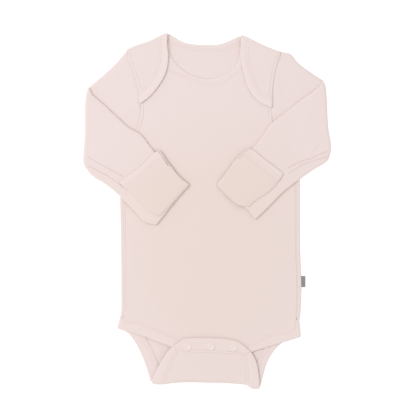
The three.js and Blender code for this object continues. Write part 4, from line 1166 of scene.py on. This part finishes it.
def sleeve(shape, name):
    """Rings round the flat tube: a patch out to the elbow, a half circle over its fold, on a
    radius that is smaller for the inner layer, and a patch back to the cuff."""
    side = shape["side"]
    share, layer = tube_ring()
    dense = np.linspace(0, 1, FINE)
    middle, half_gap = (BACK_Z + FRONT_Z) / 2, (FRONT_Z - BACK_Z) / 2
    fold_z = (FRONT_Z + FOREARM_UNDER_Z) / 2
    radius = (FOREARM_TOP_Z - BACK_Z) / 2 - half_gap
    inset = (FOREARM_TOP_Z - BACK_Z) / 2 + CLOTH / 2

    def edge(rows, sign):
        """An edge of the tube, half a thickness inside the outline."""
        return shifted(even(rows), sign * CLOTH / 2)

    top, under = edge(shape["top"], -side), edge(shape["under"], side)
    top, under = (resampled(r, max(len(top), len(under))) for r in (top, under))
    upper, lower = edge(shape["upper"], side), edge(shape["lower"], -side)
    upper, lower = (resampled(r, max(len(upper), len(lower))) for r in (upper, lower))
    elbow = shifted(along(shape["elbow"], dense), -side * inset)
    elbow[0] = (elbow[1, 0], top[-1, 1] + AXIS_RISE)
    elbow[-1] = (elbow[-1, 0], under[-1, 1])
    upper, lower = from_axis(upper, elbow[0], side), from_axis(lower, elbow[-1], side)
    top = from_axis(top[::-1], elbow[0], side)[::-1]
    under = from_axis(under[::-1], elbow[-1], side)[::-1]
    armhole = along(shape["armhole"], dense)
    top[0], under[0] = armhole[0], armhole[-1]
    cuff = along(shape["cuff"], dense)
    ring_elbow = read(elbow, share)
    arm = patch(top, under, read(armhole, share), ring_elbow, share)
    forearm = patch(upper, lower, ring_elbow, read(cuff, share), share)
    w = layer[None]
    near_seam = np.linspace(1, 0, len(arm))[:, None]
    rise = SHOULDER_RISE * near_seam**2 * (1 - fade(share, 0.5, 0.64))[None] * np.maximum(0, w)
    x, y = arm[:, :, 0], arm[:, :, 1]
    arm_z = middle + half_gap * w + rise + creases(UPPER_ARM_CREASES, x, y) * np.maximum(0, w)
    turn = np.linspace(0, np.pi, ELBOW_ROWS)[1:-1, None]
    past = np.clip((np.abs(share - 0.5) - 0.5 + FOLD_CORNER) / FOLD_CORNER, 0, 1)
    out = side * read(square_to(elbow), share) * np.sqrt(1 - CORNER_LOSS * past**2)[:, None]
    reach = radius - half_gap * w
    round_plan = ring_elbow[None] + (reach * np.sin(turn))[:, :, None] * out[None]
    round_z = fold_z - reach * np.cos(turn)
    x, y = forearm[:, :, 0], forearm[:, :, 1]
    crease = creases(SLEEVE_CREASES, x, y) * np.maximum(0, -w)
    fore_z = fold_z + radius - half_gap * w + swell(x, y) + crease
    plan = np.concatenate([arm, round_plan, forearm])
    z = np.concatenate([arm_z, round_z, fore_z])
    z = np.where(np.abs(z) < 1e-9, 0, z)
    grid = np.dstack([plan, z])
    around = np.append(0, np.cumsum(np.abs(np.diff(share)))) * FLAT_WIDTH
    down = run_length(grid[:, TUBE_ACROSS // 2])[:, None]
    grain = np.dstack([np.broadcast_to(around, z.shape), np.broadcast_to(down, z.shape)])
    skins["forearm_" + name] = top_of(grid[-len(forearm) :][:, layer < -0.9])
    return shell("sleeve_" + name + "_knit", [grid], BODY_JERSEY, maps=[grain])


sleeve_left, sleeve_right = sleeve(LEFT_SLEEVE, "left"), sleeve(RIGHT_SLEEVE, "right")
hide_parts("sleeve_left")
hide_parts("sleeve_right")

# %% [markdown]
# Each cuff carries a mitten: a pouch that is turned back over the sleeve, open towards the elbow,
# with a hem round its opening. Its upper side is folded, so it rounds down over the sleeve there;
# its end rounds down too, and its lower side is sewn to the sleeve.

# %% Mittens
LIP = 1.6  # radius of the lip, which then goes straight down
LIP_DROP = 0.8
LOW_DROP = 0.8  # how far the cover rounds down at its lower side, and over what distance
LOW_REACH = 2.6
END_DROP = (1.1, 1.7)  # the same at its end: everywhere, and more towards its folded side
END_REACH = 2.4
PUFF = 0.35  # how far the middle of the pouch stands up
MITTEN_STEP = 1.5
MITTEN_ACROSS = 34


def lip_rows(run, out):
    """Rows from a run out and down over an edge: a quarter circle, then straight down."""
    turn = np.linspace(0, np.pi / 2, 5)[1:]
    reach = np.append(LIP * np.sin(turn), LIP)
    drop = np.append(LIP * (1 - np.cos(turn)), LIP + LIP_DROP)
    rows = run[None] + reach[:, None, None] * np.append(out, np.zeros((len(out), 1)), axis=1)[None]
    rows[:, :, 2] -= drop[:, None]
    return np.concatenate([run[None], rows])

# %% [markdown]
# The pouch is one layer that shows. Its height comes from the distance to its end and to its
# lower side: near them it rounds down, and away from them it stands up a little.


# %% The two mittens
def mitten(shape, name):
    """A patch for the cover that rounds down at its end and lower side, a lip along its folded
    side, and a strip for the hem with a lip of its own."""
    side = shape["side"]
    cross = np.linspace(0, 1, MITTEN_ACROSS)
    upper = even(shape["upper"], MITTEN_STEP)
    hem_rim = np.array([shape["opening"][-1], shape["hem_seam"][-1]], float)
    hem_rim = hem_rim[0] + np.linspace(0, 1, ACROSS)[:, None] * (hem_rim[1] - hem_rim[0])
    rim = shifted(joined(hem_rim, upper), side * (LIP + CLOTH / 2))
    seam, opening = along(shape["hem_seam"], cross), along(shape["opening"], cross)
    seam[-1], opening[-1] = rim[ACROSS - 1], rim[0]
    upper = rim[ACROSS - 1 :]
    lower = matched(even(shape["lower"], MITTEN_STEP), upper)
    start = after(shape["end"], LIP + CLOTH / 2)
    end = along(shape["end"], np.linspace(start, 1, len(cross)))[::-1]
    upper[-1] = end[-1]
    lower[0], upper[0] = seam[0], seam[-1]
    cover = patch(lower, upper, seam, end)
    x, y = cover[:, :, 0], cover[:, :, 1]
    from_end = np.linspace(1, 0, len(upper))[:, None] * length_of(upper)
    from_low = cross[None] * length_of(seam)
    end_drop = END_DROP[0] + END_DROP[1] * fade(cross, 0.35, 0.9)
    round_end = end_drop[None] * np.clip(1 - from_end / END_REACH, 0, 1) ** 2
    round_low = LOW_DROP * np.clip(1 - from_low / LOW_REACH, 0, 1) ** 2
    puff = PUFF * fade(from_end, 0, 12) * fade(from_low, 0, 10)
    z = MITTEN_Z + swell(x, y) + puff - np.maximum(round_end, round_low)
    cover = at_height(cover, z)
    rim_run = cover[:, -1]
    out = -side * square_to(rim_run[:, :2])
    lip = lip_rows(rim_run, out)
    pouch = shell("mitten_" + name + "_knit", [cover, lip], MITTEN_JERSEY)
    grid, thick, rows = strip(seam, opening, on_layer(MITTEN_Z + 0.2), 9.0 + side)
    hem_out = side * square_to(grid[-1, :, :2])
    hem_lip = lip_rows(grid[-1], hem_out)
    lip_thick = np.broadcast_to(thick[-1], hem_lip.shape[:2])
    hem = shell("mitten_hem_" + name + "_knit", [grid, hem_lip], BINDING_JERSEY,
                [thick, lip_thick])
    return pouch, hem, rows


mitten_left, hem_left, hem_left_rows = mitten(LEFT_MITTEN, "left")
mitten_right, hem_right, hem_right_rows = mitten(RIGHT_MITTEN, "right")
for place, pouch, hem in (("left", mitten_left, hem_left), ("right", mitten_right, hem_right)):
    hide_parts("mitten_" + place)
    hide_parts("mitten_hem_" + place)

# %% [markdown]
# Stitches are small plump grains of thread, laid end to end along the needle rows. One grain is
# an ellipsoid with few faces; all of them in a group are made in one array and are one mesh.

# %% Stitches
STITCH = {"pitch": 2.7, "length": 2.5, "width": 0.5, "height": 0.3}


def lifted(run, skin, above=0.0):
    """A run in plan, set on a skin: its height is that of the nearest points of the skin."""
    points = skins[skin]
    apart = ((run[:, None, :2] - points[None, :, :2]) ** 2).sum(axis=2)
    near = np.argpartition(apart, 3, axis=1)[:, :4]
    weight = 1 / (np.take_along_axis(apart, near, axis=1) + 0.05)
    z = (points[near, 2] * weight).sum(axis=1) / weight.sum(axis=1)
    return np.column_stack([run[:, :2], z + above])

# %% [markdown]
# One grain is worked out once. Each row is cut into equal pitches, and every pitch gets a
# grain that points along the row, so that a whole group is one sum of arrays.


# %% Grains of thread
def stitches(name, runs):
    """Grains of thread along runs of points in space."""
    middle, way = [], []
    for run in runs:
        count = max(2, round(length_of(run) / STITCH["pitch"]))
        spots = resampled(run, 2 * count + 1)
        middle.append(spots[1::2])
        way.append(spots[2::2] - spots[:-1:2])
    middle, way = np.vstack(middle), np.vstack(way)
    way /= np.linalg.norm(way, axis=1)[:, None]
    aside = np.cross((0, 0, 1), way)
    aside /= np.linalg.norm(aside, axis=1)[:, None]
    up = np.cross(way, aside)
    tilt = np.linspace(-np.pi / 2, np.pi / 2, 5)[1:-1]
    turn = np.linspace(0, 2 * np.pi, 6, endpoint=False)
    t, a = (g.ravel() for g in np.meshgrid(tilt, turn, indexing="ij"))
    ring = np.column_stack([np.sin(t), np.cos(t) * np.cos(a), np.cos(t) * np.sin(a)])
    half = np.array([STITCH["length"], STITCH["width"], STITCH["height"]]) / 2
    grain = np.vstack([(-1, 0, 0), ring, (1, 0, 0)]) * half
    n = len(turn)
    wheel = np.arange(n)
    following = (wheel + 1) % n
    faces = [np.column_stack([np.zeros(n, int), 1 + following, 1 + wheel])]
    for k in range(len(tilt) - 1):
        a, b = 1 + k * n + wheel, 1 + k * n + following
        faces += [np.column_stack([a, b, b + n]), np.column_stack([a, b + n, a + n])]
    last = 1 + (len(tilt) - 1) * n
    faces.append(np.column_stack([last + wheel, last + following, np.full(n, last + n)]))
    faces = np.vstack(faces)
    points = (middle[:, None] + grain[None, :, :1] * way[:, None]
              + grain[None, :, 1:2] * aside[:, None] + grain[None, :, 2:] * up[:, None])
    shift = np.arange(len(middle))[:, None, None] * len(grain)
    triangles = (faces[None] + shift).reshape(-1, 3)
    points = points.reshape(-1, 3)
    uv = points[triangles.ravel(), :2]
    print(f"{name}: {len(middle)} stitches")
    return put_mesh(name, points, triangles, uv, THREAD_WITH_PAINTED_SHADE)


stitches("stitches_neck", neck_back_rows + neck_front_rows)
stitches("stitches_legs", [r for rows in leg_left_rows + leg_right_rows for r in rows])
stitches("stitches_flap", placket_rows)
stitches("stitches_mittens", hem_left_rows + hem_right_rows)

# %% [markdown]
# The other seams are flatlocked: the two edges lie side by side under a narrow band of thread.
# Such a band is a low, half-round strip laid on the cloth, with a row of stitches on each side.

# %% Flatlock seams. Runs are lists of x and y, each with the skin that it lies on
FLAT_SEAMS = {
    "left_sleeve_seam": ("forearm_left", [
        (-135.5, 61.5), (-125.5, 56.0), (-107.7, 46.0), (-89.5, 36.5)]),
    "left_sleeve_low": ("forearm_left", [
        (-134.5, 50.5), (-124.0, 46.0), (-110.0, 38.5), (-98.8, 30.5), (-91.0, 24.5)]),
    "right_sleeve_seam": ("forearm_right", [
        (136.0, 66.8), (122.6, 62.0), (117.1, 58.8), (105.9, 55.8), (94.9, 50.9), (86.5, 46.1)]),
    "right_sleeve_low": ("forearm_right", [
        (135.5, 61.2), (121.0, 56.6), (107.6, 51.8), (97.0, 46.2), (88.0, 39.6)]),
}
RIDGE_DEPTH = 0.25  # how far a ridge's underside lies in the cloth
RIDGE_DIP = 0.35  # how far its two ends sink into it
SEAM_STEP = 1.5
SLEEVE_RIDGE = {"width": 1.4, "height": 0.45}


def ridge(name, run, width, height):
    """A low strip: across it a half ellipse, along it the run. Closed underneath."""
    turn = np.linspace(0, np.pi, 7)
    across = np.concatenate([-np.cos(turn) * width / 2, [0.0]])
    up = np.concatenate([np.sin(turn) * height, [-RIDGE_DEPTH]])
    taper = np.clip(8 * (0.5 - np.abs(np.linspace(-0.5, 0.5, len(run)))), 0.1, 1)[:, None]
    square = square_to(run[:, :2])
    rings = np.dstack([
        run[:, None, 0] + across[None] * taper * square[:, :1],
        run[:, None, 1] + across[None] * taper * square[:, 1:],
        run[:, None, 2] + up[None] * taper - RIDGE_DIP * (1 - taper),
    ])
    n, m = rings.shape[:2]
    points = rings.reshape(-1, 3)
    numbers = np.arange(n * m).reshape(n, m)
    closed = np.hstack([numbers, numbers[:, :1]])
    triangles = triangles_of(closed)
    ends = (numbers[0], numbers[-1][::-1])
    caps = [np.column_stack([np.full(m - 2, c[0]), c[1:-1], c[2:]]) for c in ends]
    triangles = np.vstack([triangles, *caps])
    if faces_in(points, triangles):
        triangles = triangles[:, ::-1]
    return put_mesh(name, points, triangles, points[triangles.ravel(), :2], BODY_JERSEY)

# %% [markdown]
# The bands go down both sleeves and round both armholes, on the lap first and then on the
# front. Each side seam of the body gets one row of stitches.


# %% Bands and rows in place
seam_rows = []
for name, (skin, rows) in FLAT_SEAMS.items():
    run = lifted(even(rows, SEAM_STEP), skin)
    ridge(name, run, **SLEEVE_RIDGE)
    seam_rows.append(run[2:-2] + (0, 0, SLEEVE_RIDGE["height"]))
BAND = {"middle": 2.1, "half": 1.6, "height": 0.2}
for (half, s), side in zip(HALVES, ("left", "right")):
    inward = s["inward"]
    stretches = [("lap_" + side, 0.03, s["toe"] - 0.01), ("front", s["toe"] + 0.01, 0.93)]
    for skin, start, stop in stretches:
        arm = even(half["armhole"], SEAM_STEP, start=start, stop=stop)
        middle = lifted(shifted(arm, -inward * BAND["middle"]), skin)
        ridge(f"armhole_band_{side}_{skin[:3]}", middle, 2 * BAND["half"], BAND["height"])
        for offset in (-BAND["half"], BAND["half"]):
            row = shifted(arm, -inward * (BAND["middle"] + offset))
            seam_rows.append(lifted(row, skin, 0.04))
    seam_rows.append(lifted(shifted(s["wrap"][4:-6], inward * BAND["half"]), "front", 0.02))
stitches("stitches_seams", seam_rows)

# %% [markdown]
# A snap's cap is a pressed ring: a round disc with a raised, rounded rim and a shallow middle. It
# is a profile turned about its axis. The three match the cloth and close the flap.

# %% Snaps
SNAP_PLACES = {"left": (-21.7, -150.8), "middle": (4.4, -150.6), "right": (29.4, -151.8)}
# Columns: radius, height above the placket
SNAP_PROFILE = [
    (0.0, 0.0), (4.1, 0.0), (4.35, 0.12), (4.4, 0.35), (4.25, 0.62), (3.85, 0.82), (3.4, 0.9),
    (3.0, 0.88), (2.6, 0.76), (2.25, 0.62), (1.8, 0.56), (0.9, 0.62), (0.0, 0.64),
]
SNAP_Z = LAP_Z + BINDING / 2 + 0.1  # the placket's top


def snap(name, place):
    """A round disc: the profile turned about its own axis, closed at both poles."""
    radius, height = np.array(SNAP_PROFILE).T
    turn = np.linspace(0, 2 * np.pi, 49)
    grid = np.dstack([
        place[0] + radius[:, None] * np.cos(turn)[None],
        place[1] + radius[:, None] * np.sin(turn)[None],
        np.broadcast_to(SNAP_Z + height[:, None], (len(radius), len(turn))),
    ])
    points = grid[:, :-1].reshape(-1, 3)
    ring = len(turn) - 1
    numbers = np.arange(len(radius) * ring).reshape(len(radius), ring)
    numbers[0], numbers[-1] = numbers[0, 0], numbers[-1, 0]
    triangles = triangles_of(np.hstack([numbers, numbers[:, :1]]))
    used, triangles = np.unique(triangles[whole(triangles)], return_inverse=True)
    points, triangles = points[used], triangles.reshape(-1, 3)[:, ::-1]
    if faces_in(points, triangles):
        triangles = triangles[:, ::-1]
    uv = points[triangles.ravel(), :2]
    made = put_mesh("snap_cap_" + name, points, triangles, uv, ENAMEL)
    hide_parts("snap_" + name)
    return made


snap_caps = [snap(name, place) for name, place in SNAP_PLACES.items()]
print("snap caps:", [o.name for o in snap_caps])

# %% [markdown]
# A small folded ribbon stands out of the right side seam: two layers with a round fold between.

# %% Label
LABEL_X = (102.0, 108.9)
LABEL_Y = (-84.5, -72.3)
LABEL_Z = 1.4


def label():
    """A profile across, straight out, round and back, drawn along the ribbon's width."""
    turn = np.linspace(-np.pi / 2, np.pi / 2, 9)
    half = 0.34
    across = np.concatenate([[LABEL_X[0]], LABEL_X[1] - half + half * np.cos(turn), [LABEL_X[0]]])
    high = np.concatenate([[-half], half * np.sin(turn), [half]])
    along_y = np.linspace(*LABEL_Y, 9)
    grid = np.dstack([
        np.broadcast_to(across[:, None], (len(across), 9)),
        np.broadcast_to(along_y[None], (len(across), 9)),
        LABEL_Z + np.broadcast_to(high[:, None], (len(across), 9)),
    ])
    return shell("label_ribbon", [grid], RIBBON, 0.28, round_by=0.3)


label_ribbon = label()
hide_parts("side_label")

# %% [markdown]

# %% [markdown]
# The garment lies on a plain white table under soft light. The camera is straight above it with
# a long lens. A broad lamp high on the left gives the edges that face right their thin shadows;
# the pale room fills them in.

# %% Table
TABLE_HALF = 3.0
TABLE_GLOW = 0.55  # so that the table comes out white, as a cut-out picture has it
floor_mesh = bpy.data.meshes.new("table_top")
corners = [(x * TABLE_HALF, y * TABLE_HALF, 0) for x, y in ((-1, -1), (1, -1), (1, 1), (-1, 1))]
floor_mesh.from_pydata(corners, [], [(0, 1, 2, 3)])
floor = bpy.data.objects.new("table_top", floor_mesh)
bpy.context.scene.collection.objects.link(floor)
TABLE_PAINT, _, table_shader = new_material("white table, softly lit", 0.9)
table_shader.inputs["Base Color"].default_value = colour("#D8D8D8")
table_shader.inputs["Emission Color"].default_value = (1, 1, 1, 1)
table_shader.inputs["Emission Strength"].default_value = TABLE_GLOW
floor_mesh.materials.append(TABLE_PAINT)


# %% Light
def lamp(name, place, size, power):
    """A square lamp aimed at the middle of the garment."""
    light = bpy.data.lights.new(name, "AREA")
    light.size = size
    light.energy = power
    made = bpy.data.objects.new(name, light)
    made.location = place
    toward = -made.location
    made.rotation_mode = "QUATERNION"
    made.rotation_quaternion = toward.to_track_quat("-Z", "Y")
    bpy.context.scene.collection.objects.link(made)
    return made


WINDOW = {"place": (-1.2, 0.35, 2.1), "size": 1.4, "power": 19}
ROOM_LIGHT = 0.755
lamp("window_left", **WINDOW)
world = bpy.data.worlds.new("pale room")
world.use_nodes = True
world.node_tree.nodes["Background"].inputs["Color"].default_value = (1, 1, 1, 1)
world.node_tree.nodes["Background"].inputs["Strength"].default_value = ROOM_LIGHT
bpy.context.scene.world = world
print("lamp and pale room made")
